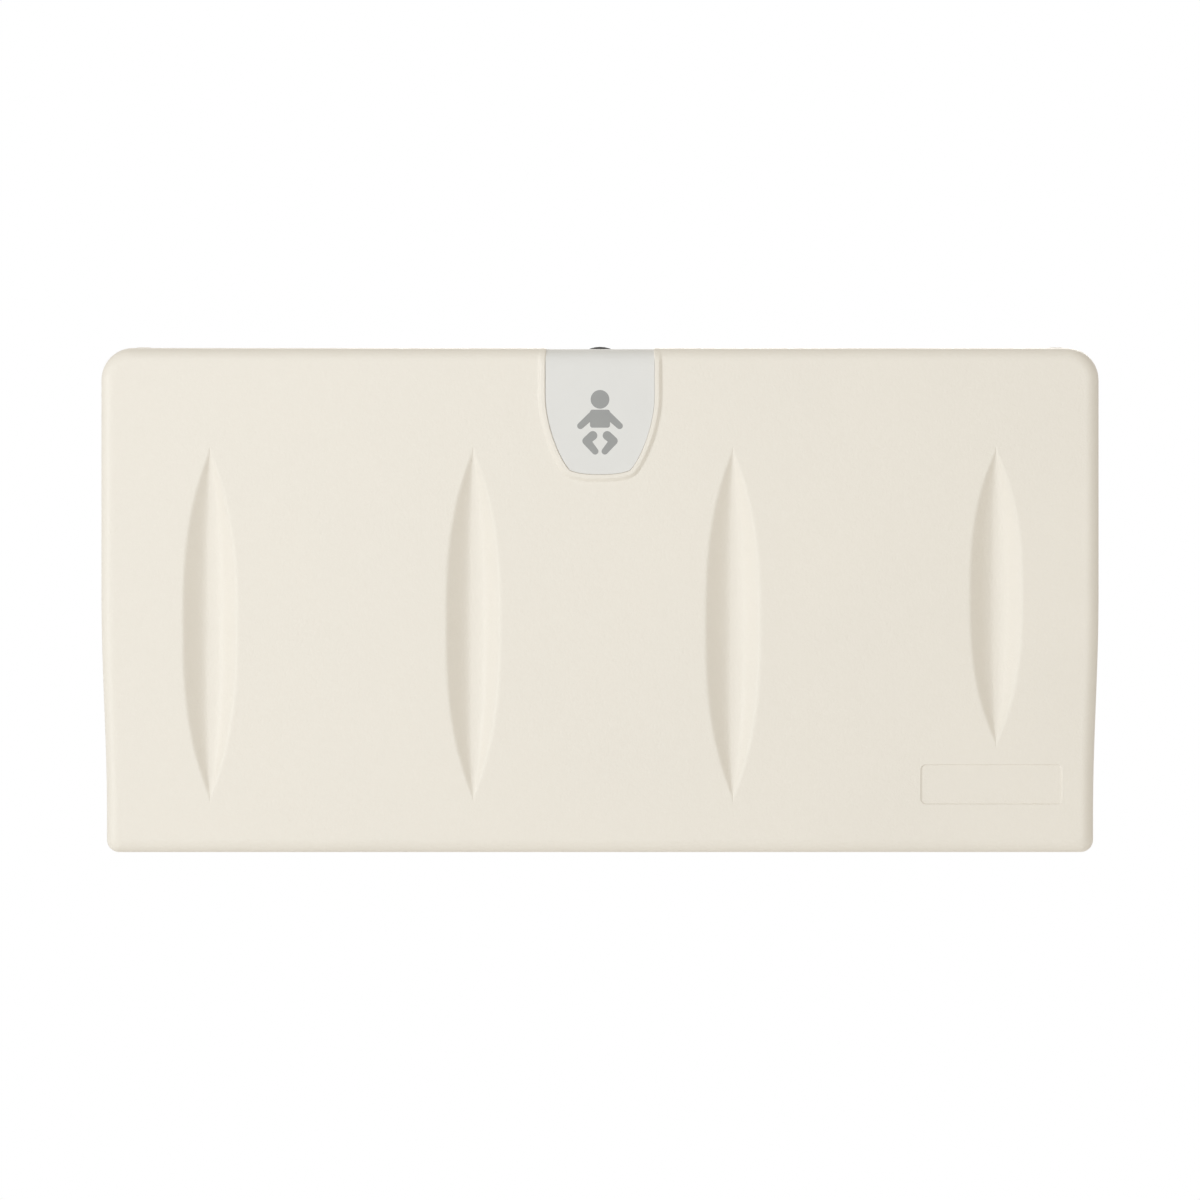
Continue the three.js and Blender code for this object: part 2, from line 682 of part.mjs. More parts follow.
// A cap is a dome with a plug that clicks into the plate's hole
function makeScrewCap(x, z) {
  const profile = [
    new THREE.Vector2(0, CAP_DOME), new THREE.Vector2(CAP_RADIUS * 0.55, CAP_DOME * 0.86),
    new THREE.Vector2(CAP_RADIUS * 0.87, CAP_DOME * 0.5), new THREE.Vector2(CAP_RADIUS, 0),
    new THREE.Vector2(FIX_HOLE - FIT, 0), new THREE.Vector2(FIX_HOLE - FIT, -CAP_PLUG),
    new THREE.Vector2(0, -CAP_PLUG),
  ];
  const geometry = new THREE.LatheGeometry(profile, 16).rotateX(Math.PI);
  return solidOf(geometry.translate(x, -WALL - STRAP_PLATE_THICK - 2 * FIT, z));
}

// Liner box: open at the top under a lid, with a slot to draw the liners through

const LINER_BACK = -WALL - FIT;
const LID_AXIS_Y = LINER_BACK - LINER_WALL - LID_BARREL - FIT;
const LID_AXIS_Z = LINER_TOP - LID_BARREL - 2 * FIT;

// A plan with two rounded front corners, pushed up from foot to top
function frontRounded(x, half, back, front, corner, foot, top) {
  const plan = [
    ...arcPoints(x - half + corner, front + corner, corner, Math.PI, Math.PI * 1.5, 4),
    ...arcPoints(x + half - corner, front + corner, corner, Math.PI * 1.5, Math.PI * 2, 4),
    new THREE.Vector2(x + half, back), new THREE.Vector2(x - half, back),
  ];
  return loft([foot, top].map((z) => plan.map((point) => new THREE.Vector3(point.x, point.y, z))));
}

function linerForm(x, set, foot, top) {
  return frontRounded(
    x, LINER_WIDTH / 2 - set, LINER_BACK - set, -LINER_FRONT + set, LINER_CORNER - set, foot, top,
  );
}

function makeLinerBox(side) {
  const x = side * LINER_X;
  const outside = linerForm(x, 0, LINER_FOOT, LINER_TOP);
  const ledgeTop = LID_AXIS_Z + LID_BARREL - LID_THICK - FIT;
  const ledgeFoot = ledgeTop - LID_LEDGE;
  const lidPocket = linerForm(x, LINER_WALL, ledgeTop, LINER_TOP + PAST);
  const inside = linerForm(x, LINER_WALL, LINER_FOOT + LINER_WALL, ledgeFoot);
  const narrow = LINER_WALL + LID_LEDGE;
  const mouth = frontRounded(
    x, LINER_WIDTH / 2 - narrow, LINER_BACK - LINER_WALL, -LINER_FRONT + narrow, LINER_CORNER - narrow,
    ledgeFoot - PAST, LINER_TOP,
  );
  const slotZ = (LINER_FOOT + LINER_TOP) / 2;
  const slot = slab(
    roundedRect(
      x - LINER_SLOT_WIDTH / 2, x + LINER_SLOT_WIDTH / 2,
      slotZ - LINER_SLOT_HEIGHT / 2, slotZ + LINER_SLOT_HEIGHT / 2, LINER_SLOT_HEIGHT / 2 - FIT,
    ),
    -LINER_FRONT + LINER_WALL + PAST, -LINER_FRONT - PAST,
  );
  const reach = LINER_WIDTH / 2 + PAST;
  const pivots = roundX(LID_TRUNNION + FIT, x - reach, x + reach, LID_AXIS_Y, LID_AXIS_Z, 12);
  return cut(outside, inside, mouth, lidPocket, slot, pivots);
}

// The lid drops in between the walls and turns on two trunnions at its back edge
function makeLinerLid(side) {
  const x = side * LINER_X;
  const half = LINER_WIDTH / 2 - LINER_WALL - 2 * FIT;
  const trunnion = LINER_WIDTH / 2 - FIT;
  const front = -LINER_FRONT + LINER_WALL + 2 * FIT;
  const corner = LINER_CORNER - LINER_WALL;
  const top = LID_AXIS_Z + LID_BARREL;
  const plate = frontRounded(x, half, LID_AXIS_Y, front, corner, top - LID_THICK, top);
  const rollHalf = half - LID_LEDGE - FIT;
  const hingeRoll = roundX(LID_BARREL, x - rollHalf, x + rollHalf, LID_AXIS_Y, LID_AXIS_Z, 12);
  const pins = roundX(LID_TRUNNION, x - trunnion, x + trunnion, LID_AXIS_Y, LID_AXIS_Z, 12);
  return union(plate, hingeRoll, pins);
}

function makeBagHook(side) {
  const back = -WALL - FIT;
  const shape = new THREE.Shape();
  const inner = HOOK_THICK / 2;
  const arm = HOOK_FOOT + HOOK_THICK;
  const tipBack = back - HOOK_REACH + HOOK_THICK;
  shape.moveTo(back, HOOK_FOOT);
  shape.lineTo(back, HOOK_FOOT + HOOK_HEIGHT);
  shape.lineTo(back - HOOK_THICK + PAST, HOOK_FOOT + HOOK_HEIGHT);
  shape.lineTo(back - HOOK_THICK, arm + inner);
  shape.absarc(back - HOOK_THICK - inner, arm + inner, inner, 0, -Math.PI / 2, true);
  shape.absarc(tipBack + inner, arm + inner, inner, -Math.PI / 2, -Math.PI, true);
  shape.lineTo(tipBack, arm + HOOK_TIP);
  shape.absarc(tipBack - inner, arm + HOOK_TIP, inner, 0, Math.PI, false);
  shape.absarc(tipBack - HOOK_THICK + arm - HOOK_FOOT, HOOK_FOOT + HOOK_THICK, HOOK_THICK, Math.PI,
    Math.PI * 1.5, false);
  return bar(shape, side * HOOK_X - HOOK_WIDTH / 2, side * HOOK_X + HOOK_WIDTH / 2, 4);
}

// Gas spring: its rod end rides in a slot of the crank, which lets the linkage close at both stops

const CRANK_REST = THREE.MathUtils.degToRad(CRANK_REST_DEG);
const CRANK_TIP = CRANK_RADIUS + EYE_PIN + FIT - CRANK_SLOT_HALF;
const ROD_END_Y = HINGE_Y + CRANK_RADIUS * Math.cos(CRANK_REST);
const ROD_END_Z = HINGE_Z + CRANK_RADIUS * Math.sin(CRANK_REST);
const SPRING_LENGTH = Math.hypot(ROD_END_Y - SPRING_TOP_Y, ROD_END_Z - SPRING_TOP_Z);

// Places a form built round the origin, hanging down -Z, on the spring's line from its upper pivot
function alongSpring(geometry) {
  const lean = Math.atan2(ROD_END_Y - SPRING_TOP_Y, SPRING_TOP_Z - ROD_END_Z);
  return geometry.rotateX(lean).translate(SPRING_X, SPRING_TOP_Y, SPRING_TOP_Z);
}

function hangingRound(radius, from, to, sides = 16) {
  const geometry = new THREE.CylinderGeometry(radius, radius, to - from, sides);
  return solidOf(alongSpring(geometry.rotateX(Math.PI / 2).translate(0, 0, -(from + to) / 2)));
}

function springEye(distance) {
  const ringForm = (radius, width) => {
    const geometry = new THREE.CylinderGeometry(radius, radius, width, 16);
    return solidOf(alongSpring(geometry.rotateZ(Math.PI / 2).translate(0, 0, -distance)));
  };
  return [ringForm(EYE_RADIUS, EYE_THICK), ringForm(EYE_PIN + FIT, EYE_THICK + PAST)];
}

function makeGasCylinder() {
  const [eye, hole] = springEye(0);
  const tubeTop = EYE_RADIUS + 2 * PAST;
  const tubeEnd = tubeTop + TUBE_LENGTH;
  const neck = hangingRound(ROD_RADIUS, EYE_RADIUS / 2, tubeTop + PAST);
  const tube = hangingRound(TUBE_RADIUS, tubeTop, tubeEnd);
  const bore = hangingRound(ROD_RADIUS + FIT * 2, tubeTop + 4 * WALL, tubeEnd + PAST);
  return cut(union(eye, neck, tube), hole, bore);
}

function makeGasRod() {
  const [eye, hole] = springEye(SPRING_LENGTH);
  const tubeEnd = EYE_RADIUS + 2 * PAST + TUBE_LENGTH;
  const stem = hangingRound(ROD_RADIUS, tubeEnd - ROD_HIDDEN, SPRING_LENGTH - EYE_RADIUS / 2);
  return cut(union(eye, stem), hole);
}

function makeRodPin() {
  const outer = CRANK_X + CRANK_THICK / 2 + PARTING_GAP / 2;
  return roundX(EYE_PIN, SPRING_X - EYE_THICK / 2 - PARTING_GAP, outer, ROD_END_Y, ROD_END_Z, 16);
}

const RIM_INSIDE = RECESS_HALF + WALL;

function makeSpringBracket() {
  const x0 = RIM_INSIDE + FIT;
  const reach = EYE_RADIUS + PAST;
  const plate = bar(
    roundedRect(
      SPRING_TOP_Y - reach, SPRING_TOP_Y + reach, SPRING_TOP_Z - reach, SPRING_TOP_Z + 3 * reach, reach / 2,
    ),
    x0, x0 + TRAY_SHEET,
  );
  return cut(plate, roundX(EYE_PIN + FIT, x0 - PAST, x0 + 2 * WALL, SPRING_TOP_Y, SPRING_TOP_Z, 16));
}

function makeSpringPin() {
  const outer = SPRING_X + EYE_THICK / 2 + PARTING_GAP;
  return roundX(EYE_PIN, RIM_INSIDE + FIT, outer, SPRING_TOP_Y, SPRING_TOP_Z, 16);
}

function makeLiftArm() {
  const x0 = CRANK_X - CRANK_THICK / 2;
  const x1 = CRANK_X + CRANK_THICK / 2;
  const half = CRANK_SLOT_HALF + CRANK_BORDER;
  const arm = new THREE.Shape();
  arm.moveTo(-CRANK_RADIUS, -half);
  arm.absarc(CRANK_TIP, 0, half, -Math.PI / 2, Math.PI / 2, false);
  arm.lineTo(-CRANK_RADIUS, half);
  const slot = new THREE.Path();
  slot.absarc(CRANK_TIP, 0, CRANK_SLOT_HALF, -Math.PI / 2, Math.PI / 2, false);
  const slotInner = CRANK_SLOT_INNER - EYE_PIN - FIT + CRANK_SLOT_HALF;
  slot.absarc(slotInner, 0, CRANK_SLOT_HALF, Math.PI / 2, Math.PI * 1.5, false);
  arm.holes.push(slot);
  const geometry = new THREE.ExtrudeGeometry(arm, {
    depth: CRANK_THICK, bevelEnabled: false, curveSegments: 8,
  });
  const turn = new THREE.Matrix4().makeBasis(
    new THREE.Vector3(0, 1, 0), new THREE.Vector3(0, 0, 1), new THREE.Vector3(1, 0, 0),
  );
  geometry.applyMatrix4(turn).rotateX(CRANK_REST).translate(x0, HINGE_Y, HINGE_Z);
  const footBack = HEEL_BACK + FIT + LEAF_THICK;
  const footInner = HINGE_LENGTH / 2 + 4 * CLIP_THICK;
  const foot = box(
    footInner, x1, HEEL_BACK + FIT, footBack, PANEL_FOOT + PARTING_GAP, HINGE_Z + KNUCKLE_RADIUS,
  );
  const behindFoot = box(x0 - PAST, x1 + PAST, HEEL_BACK + FIT, 0, PANEL_FOOT, PANEL_TOP);
  const underTray = box(
    x0 - PAST, x1 + PAST, PANEL_FRONT, HINGE_Y, HINGE_Z + KNUCKLE_RADIUS, PANEL_TOP,
  );
  return union(foot, cut(solidOf(geometry).intersect(behindFoot), underTray));
}

// Safety strap: two lengths of webbing from their anchors to a side-release buckle

const BUCKLE_MIDDLE = PAN_FLOOR + FIT + BUCKLE_THICK / 2;

// Webbing that lies on the pan at one end and rises into the buckle at the other
function makeWebbing(anchorEnd, buckleEnd) {
  const steps = 10;
  const lines = [-WEB_THICK / 2, WEB_THICK / 2].map((offset) => {
    const points = [];
    for (let i = 0; i <= steps; i += 1) {
      const share = i / steps;
      const rise = THREE.MathUtils.smoothstep(share, 0.3, 1);
      const lying = PAN_FLOOR + FIT + WEB_THICK / 2;
      points.push(new THREE.Vector2(
        THREE.MathUtils.lerp(lying, BUCKLE_MIDDLE, rise) + offset,
        THREE.MathUtils.lerp(anchorEnd, buckleEnd, share),
      ));
    }
    return points;
  });
  const shape = new THREE.Shape([...lines[0], ...lines[1].reverse()]);
  return bar(shape, -WEB_WIDTH / 2, WEB_WIDTH / 2);
}

// An anchor bridges the webbing and stands on the pan at both sides of it
function makeAnchor(z) {
  const half = ANCHOR_WIDTH / 2;
  const base = PAN_FLOOR + FIT;
  const top = base + WEB_THICK + 2 * FIT + ANCHOR_THICK;
  const block = slab(
    roundedRect(-half, half, z - ANCHOR_LENGTH / 2, z + ANCHOR_LENGTH / 2, ANCHOR_LENGTH / 3), top, base, 4,
  );
  const way = WEB_WIDTH / 2 + 2 * FIT;
  return cut(block, box(-way, way, base - PAST, top - ANCHOR_THICK, z - ANCHOR_LENGTH, z + ANCHOR_LENGTH));
}

function buckleBlock(set, foot, top) {
  const half = BUCKLE_WIDTH / 2 - set;
  return slab(
    roundedRect(-half, half, foot, top, BUCKLE_THICK / 2 - set),
    BUCKLE_MIDDLE + BUCKLE_THICK / 2 - set, BUCKLE_MIDDLE - BUCKLE_THICK / 2 + set, 3,
  );
}

function webSlot(z) {
  const half = WEB_WIDTH / 2 + 2 * FIT;
  const gap = WEB_THICK / 2 + 2 * FIT;
  return box(-half, half, BUCKLE_MIDDLE - gap, BUCKLE_MIDDLE + gap, z - BUCKLE_SHELL, z + BUCKLE_SHELL);
}

function makeBuckleSocket() {
  const inside = box(
    -BUCKLE_WIDTH / 2 + BUCKLE_SHELL, BUCKLE_WIDTH / 2 - BUCKLE_SHELL,
    BUCKLE_MIDDLE - BUCKLE_THICK / 2 + BUCKLE_SHELL, BUCKLE_MIDDLE + BUCKLE_THICK / 2 - BUCKLE_SHELL,
    SOCKET_FOOT + 3 * BUCKLE_SHELL, SOCKET_TOP + PAST,
  );
  const windowFoot = SOCKET_FOOT + 4 * BUCKLE_SHELL;
  const windows = box(
    -BUCKLE_WIDTH, BUCKLE_WIDTH, BUCKLE_MIDDLE - BUCKLE_THICK / 5, BUCKLE_MIDDLE + BUCKLE_THICK / 5,
    windowFoot, windowFoot + BUCKLE_THICK,
  );
  return cut(buckleBlock(0, SOCKET_FOOT, SOCKET_TOP), inside, windows, webSlot(SOCKET_FOOT));
}

function makeBuckleTongue() {
  const head = buckleBlock(0, SOCKET_TOP + FIT, TONGUE_TOP);
  const reach = SOCKET_FOOT + 3 * BUCKLE_SHELL + 2 * PAST;
  const thick = BUCKLE_THICK / 2 - BUCKLE_SHELL - 2 * FIT;
  const outer = BUCKLE_WIDTH / 2 - BUCKLE_SHELL - 2 * FIT;
  const prongs = SIDES.map(([, side]) => {
    const [x0, x1] = [side * outer, side * (outer - PRONG_WIDTH)].sort((a, b) => a - b);
    return slab(
      roundedRect(x0, x1, reach, SOCKET_TOP + PAST, PRONG_WIDTH / 3),
      BUCKLE_MIDDLE + thick, BUCKLE_MIDDLE - thick, 3,
    );
  });
  const guide = box(
    -PRONG_WIDTH / 2, PRONG_WIDTH / 2, BUCKLE_MIDDLE - thick, BUCKLE_MIDDLE + thick,
    (SOCKET_FOOT + SOCKET_TOP) / 2, SOCKET_TOP + PAST,
  );
  return cut(union(head, ...prongs, guide), webSlot(TONGUE_TOP));
}

// The whole station

const station = new THREE.Group();
station.name = "baby_changing_station";

function place(name, solid, material) {
  station.add(meshOf(name, solid, material));
}

place("wall_housing", makeHousing(), CREAM);
place("top_bumper", makeTopBumper(), RUBBER);
place("hinge_leaf_wall", makeWallLeaf(), STEEL);
place("hinge_leaf_bed", makeBedLeaf(), STEEL);
place("hinge_pin", makeHingePin(), STEEL);
place("gas_spring_bracket", makeSpringBracket(), STEEL);
place("gas_spring_pin", makeSpringPin(), STEEL);
place("gas_cylinder", makeGasCylinder(), BLACK);
place("gas_rod", makeGasRod(), STEEL);
place("gas_rod_pin", makeRodPin(), STEEL);
place("lift_arm", makeLiftArm(), STEEL);
for (const [name, side] of SIDES) {
  place(`pin_clip_${name}`, makePinClip(side), STEEL);
  place(`mounting_strap_${name}`, makeStrapPlate(side), STEEL);
  place(`liner_box_${name}`, makeLinerBox(side), TRIM);
  place(`liner_lid_${name}`, makeLinerLid(side), TRIM);
  place(`bag_hook_${name}`, makeBagHook(side), TRIM);
}
fixingPoints().forEach(([x, z], index) => place(`screw_cap_${index + 1}`, makeScrewCap(x, z), TRIM));
place("bed_shell", makeBedShell(), CREAM);
place("bed_tray", makeBedTray(), CREAM);
place("badge_plate", makeBadgePlate(), SILVER);
place("strap_anchor_upper", makeAnchor(ANCHOR_HIGH), BLACK);
place("strap_anchor_lower", makeAnchor(ANCHOR_LOW), BLACK);
place("strap_upper", makeWebbing(ANCHOR_HIGH + ANCHOR_LENGTH / 2, TONGUE_TOP + FIT - BUCKLE_SHELL), WEBBING);
place("strap_lower", makeWebbing(ANCHOR_LOW - ANCHOR_LENGTH / 2, SOCKET_FOOT - FIT + BUCKLE_SHELL), WEBBING);
place("buckle_socket", makeBuckleSocket(), BLACK);
place("buckle_tongue", makeBuckleTongue(), BLACK);

export default station;
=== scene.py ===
import json
import math

import bmesh
import bpy
import numpy as np
from bpy.props import FloatProperty, FloatVectorProperty, IntProperty, PointerProperty
from bpy.types import Operator, Panel, PropertyGroup
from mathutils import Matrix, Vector
from mathutils.geometry import delaunay_2d_cdt, interpolate_bezier


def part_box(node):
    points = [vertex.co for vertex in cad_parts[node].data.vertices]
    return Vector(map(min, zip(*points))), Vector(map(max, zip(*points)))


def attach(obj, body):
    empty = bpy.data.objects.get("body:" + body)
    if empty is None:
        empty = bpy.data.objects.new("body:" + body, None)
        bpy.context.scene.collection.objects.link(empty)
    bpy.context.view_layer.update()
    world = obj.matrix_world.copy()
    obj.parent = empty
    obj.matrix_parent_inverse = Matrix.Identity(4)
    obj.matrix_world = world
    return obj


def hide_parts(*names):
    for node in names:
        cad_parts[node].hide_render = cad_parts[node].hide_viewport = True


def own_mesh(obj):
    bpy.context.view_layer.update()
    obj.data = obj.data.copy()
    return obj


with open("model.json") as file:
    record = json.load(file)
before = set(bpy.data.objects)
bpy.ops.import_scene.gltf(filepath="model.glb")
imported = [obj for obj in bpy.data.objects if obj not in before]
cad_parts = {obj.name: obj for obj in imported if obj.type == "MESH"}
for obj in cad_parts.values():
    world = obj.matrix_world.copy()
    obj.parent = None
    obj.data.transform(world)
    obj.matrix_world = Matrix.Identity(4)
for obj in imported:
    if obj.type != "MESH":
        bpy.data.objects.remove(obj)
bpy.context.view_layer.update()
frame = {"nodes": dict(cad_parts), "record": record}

bl_info = {
    "name": "Fold-down Changing Station",
    "version": (1, 0, 0),
    "blender": (4, 5, 0),
    "location": "View3D > Sidebar > Station",
    "description": "Dresses the frame of a wall-hung changing station",
    "category": "Object",
}

MM = 0.001
BODY_OF = {
    node: body
    for body, nodes in frame["record"]["behaviour"]["bodies"].items()
    for node in nodes
}
SLOT_OF = {entry["node"]: entry["material_slot"] for entry in frame["record"]["subparts"]}


def length(name, description, default):
    return FloatProperty(name=name, description=description, default=default, subtype="DISTANCE", precision=5)


def colour(name, description, default):
    return FloatVectorProperty(
        name=name, description=description, default=default, subtype="COLOR", size=3, min=0, max=1,
    )


# Sizes and colours that a user would change


class ShellSizes(PropertyGroup):
    """Sizes of the bed's fluted outer shell"""

    width: length("Width", "Width of the front panel", 889 * MM)
    height: length("Height", "Height of the front panel", 449.5 * MM)
    front: length("Front", "Distance of the panel's face from the wall", 100 * MM)
    back: length("Back", "Distance of the shell's open edge from the wall", 48 * MM)
    narrowing: length("Narrowing", "How much each side draws in towards the foot", 4.9 * MM)
    taper_end: length("Taper End", "Height above the foot where the sides stop drawing in", 37.75 * MM)
    top_corner: length("Top Corner", "Corner radius at the top", 28.5 * MM)
    foot_corner: length("Foot Corner", "Corner radius at the foot", 11 * MM)
    edge_round: length("Edge Round", "Radius of the edge between face and sides", 12 * MM)
    wall: length("Wall", "Thickness of the moulding", 4 * MM)
    flute_half: length("Flute Half Width", "Half the width of a long flute at its middle", 23.9 * MM)
    short_half: length("Short Flute Half Width", "Half the width of the short flute at its middle", 22.8 * MM)
    flute_fullness: FloatProperty(name="Flute Fullness", description="How full a flute stays towards its tips", default=2.7)
    flute_steep: FloatProperty(name="Flute Steepness", description="Slope of a flute's side walls", default=0.78)
    flute_valley: FloatProperty(name="Flute Valley", description="Share of a flute's half width that is round", default=0.65)
    flute_aside: length("Flutes Aside", "How far all the flutes stand to the right", 2.8 * MM)
    flute_top: length("Flute Top", "Upper tip of the flutes", 132 * MM)
    flute_foot: length("Flute Foot", "Lower tip of the long flutes", -175.5 * MM)
    short_foot: length("Short Flute Foot", "Lower tip of the short flute", -126.5 * MM)
    flute_outer: length("Outer Flutes", "Distance of the outer flutes from the middle", 349.5 * MM)
    flute_inner: length("Inner Flutes", "Distance of the inner flutes from the middle", 115.5 * MM)
    flute_edge: length("Flute Edge", "Softness of a flute's edge", 1.4 * MM)
    sign_width: length("Sign Width", "Width of the sunk plain field", 126.2 * MM)
    sign_height: length("Sign Height", "Height of the sunk plain field", 35.8 * MM)
    sign_aside: length("Sign Aside", "Distance of the sunk field's middle from the panel's", 348.1 * MM)
    sign_middle: length("Sign Middle", "Height of the sunk field's middle", -164 * MM)
    sign_depth: length("Sign Depth", "Depth of the sunk field", 1.1 * MM)
    sign_slope: length("Sign Slope", "Width of the sunk field's sloping edge", 0.9 * MM)
    sign_corner: length("Sign Corner", "Corner radius of the sunk field", 4.5 * MM)
    heel_back: length("Heel Back", "Distance of the heel's face from the wall", 54.8 * MM)
    heel_top: length("Heel Top", "Height of the heel's shelf", -192.95 * MM)


class BadgeSizes(PropertyGroup):
    """Sizes of the badge and the bead round it"""

    half: length("Half Width", "Half the width of the badge", 48.5 * MM)
    drop: length("Drop", "Height of the badge below the panel's top", 113 * MM)
    straight: length("Straight", "Length of the badge's straight sides", 43 * MM)
    foot_half: length("Foot Half Width", "Half the width of the badge's foot", 27 * MM)
    lift: length("Lift", "Height of the badge's face over the panel", 1.6 * MM)
    top_lift: length("Top Lift", "Height of the badge's face over the panel's top edge", -1.0 * MM)
    sink: length("Sink", "Depth of the panel's top edge under the badge", 1.35 * MM)
    thick: length("Thickness", "Thickness of the badge", 1.3 * MM)
    bead_width: length("Bead Width", "Width of the raised bead", 8 * MM)
    bead_rise: length("Bead Rise", "Height of the raised bead", 2.5 * MM)
    bead_tuck: length("Bead Tuck", "How far the bead starts under the badge's edge", 0.5 * MM)
    bead_root: length("Bead Root", "How far the bead reaches into the panel", 1.9 * MM)
    wrap: length("Wrap", "How far the badge runs back over the top edge", 6 * MM)


class TraySizes(PropertyGroup):
    """Sizes of the pan inside the bed"""

    sheet: length("Sheet", "Thickness of the tray", 3.5 * MM)
    half: length("Half Width", "Half the width of the pan's mouth", 396 * MM)
    top: length("Top", "Upper edge of the pan's mouth", 190.75 * MM)
    foot: length("Foot", "Lower edge of the pan's mouth", -166.75 * MM)
    corner: length("Corner", "Corner radius of the pan's mouth", 62 * MM)
    depth: length("Depth", "Depth of the pan", 30 * MM)
    run: length("Run", "How far the pan's wall runs inwards", 62 * MM)
    lip: length("Lip", "Radius of the pan's lip", 3 * MM)


class StrapSizes(PropertyGroup):
    """Sizes of the safety strap"""

    width: length("Width", "Width of the webbing", 38 * MM)
    thick: length("Thickness", "Thickness of the webbing", 1.8 * MM)
    lying: length("Lying", "Place of the webbing's middle on the pan", -76.8 * MM)
    buckle: length("In Buckle", "Place of the webbing's middle in the buckle", -71.2 * MM)
    travel: length("Travel", "How far the buckle's tongue pulls out", 26 * MM)
    sewn_from: length("Sewn From", "Distance of the sewn block from the buckle's end", 15 * MM)
    stitch: length("Stitch", "Length of a stitch", 2.4 * MM)
    thread: length("Thread", "Thickness of the thread", 0.7 * MM)
    row_gap: length("Row Gap", "Distance between rows of stitches", 3.4 * MM)
    stitch_rows: IntProperty(name="Stitch Rows", description="Rows of stitches at a sewn end", default=5, min=2)


class FinishColours(PropertyGroup):
    """Colours of the finishes"""

    cream: colour("Cream", "Moulded cream plastic", (0.831, 0.782, 0.701))
    trim: colour("Trim", "Plastic of the boxes, hooks and caps", (0.76, 0.72, 0.63))
    badge: colour("Badge", "Silver-grey badge", (0.777, 0.768, 0.746))
    figure: colour("Figure", "Printed figure on the badge", (0.322, 0.322, 0.314))
    rubber: colour("Rubber", "Dark rubber", (0.052, 0.050, 0.050))
    black: colour("Black", "Black plastic", (0.022, 0.022, 0.025))
    webbing: colour("Webbing", "Woven strap", (0.055, 0.060, 0.070))
    thread: colour("Thread", "Stitching thread", (0.16, 0.16, 0.17))
    steel: colour("Steel", "Brushed steel", (0.56, 0.57, 0.58))


class StageSetup(PropertyGroup):
    """Camera and lamps"""

    distance: length("Distance", "Distance of the camera from the panel's face", 4.5)
    frame_width: length("Frame Width", "Width of the picture at the panel's face", 1.0672)
    key_power: FloatProperty(name="Key Power", description="Power of the lamp at the left", default=76, unit="POWER")
    fill_power: FloatProperty(name="Fill Power", description="Power of the frontal lamp", default=98, unit="POWER")
    back_power: FloatProperty(name="Back Power", description="Power of the lamp behind", default=75, unit="POWER")
    ambient: FloatProperty(name="Ambient", description="Light from all round", default=0.53, min=0)
    lamp_tint: colour("Lamp Tint", "Colour of the lamps in front", (0.86, 0.925, 1.0))
    room_tint: colour("Room Tint", "Colour of the light from all round", (1.0, 0.94, 0.83))
    floor_drop: length("Floor", "Height of the floor under the panel's middle", -0.82)


# Plane outlines: lists of (x, z)


def smoothstep(value, low, high):
    share = min(max((value - low) / (high - low), 0), 1)
    return share * share * (3 - 2 * share)


def arc(x, z, radius, start, end, steps):
    angles = np.radians(np.linspace(start, end, steps + 1))
    return [(x + radius * math.cos(a), z + radius * math.sin(a)) for a in angles]


def mirrored(right):
    return right + [(-x, z) for x, z in reversed(right)]


def rounded_rect(x0, x1, z0, z1, radius, steps=6):
    return (
        arc(x1 - radius, z0 + radius, radius, -90, 0, steps)
        + arc(x1 - radius, z1 - radius, radius, 0, 90, steps)
        + arc(x0 + radius, z1 - radius, radius, 90, 180, steps)
        + arc(x0 + radius, z0 + radius, radius, 180, 270, steps)
    )


def inside(x, z, outline):
    count = 0
    for (x0, z0), (x1, z1) in zip(outline, outline[1:] + outline[:1]):
        if (z0 > z) != (z1 > z) and x < x0 + (z - z0) * (x1 - x0) / (z1 - z0):
            count += 1
    return count % 2 == 1


def fill_plane(outlines, keep):
    """Triangles between outlines, kept where keep(x, z) is true for a triangle's middle"""
    points, edges = [], []
    for outline in outlines:
        start = len(points)
        points += [Vector(p) for p in outline]
        edges += [(start + i, start + (i + 1) % len(outline)) for i in range(len(outline))]
    found, _, faces, *_ = delaunay_2d_cdt(points, edges, [], 1, 1e-7)
    kept = []
    for face in faces:
        x, z = (sum(found[i][axis] for i in face) / len(face) for axis in (0, 1))
        if keep(x, z):
            kept.append(face)
    return [tuple(p) for p in found], kept


# Mesh work


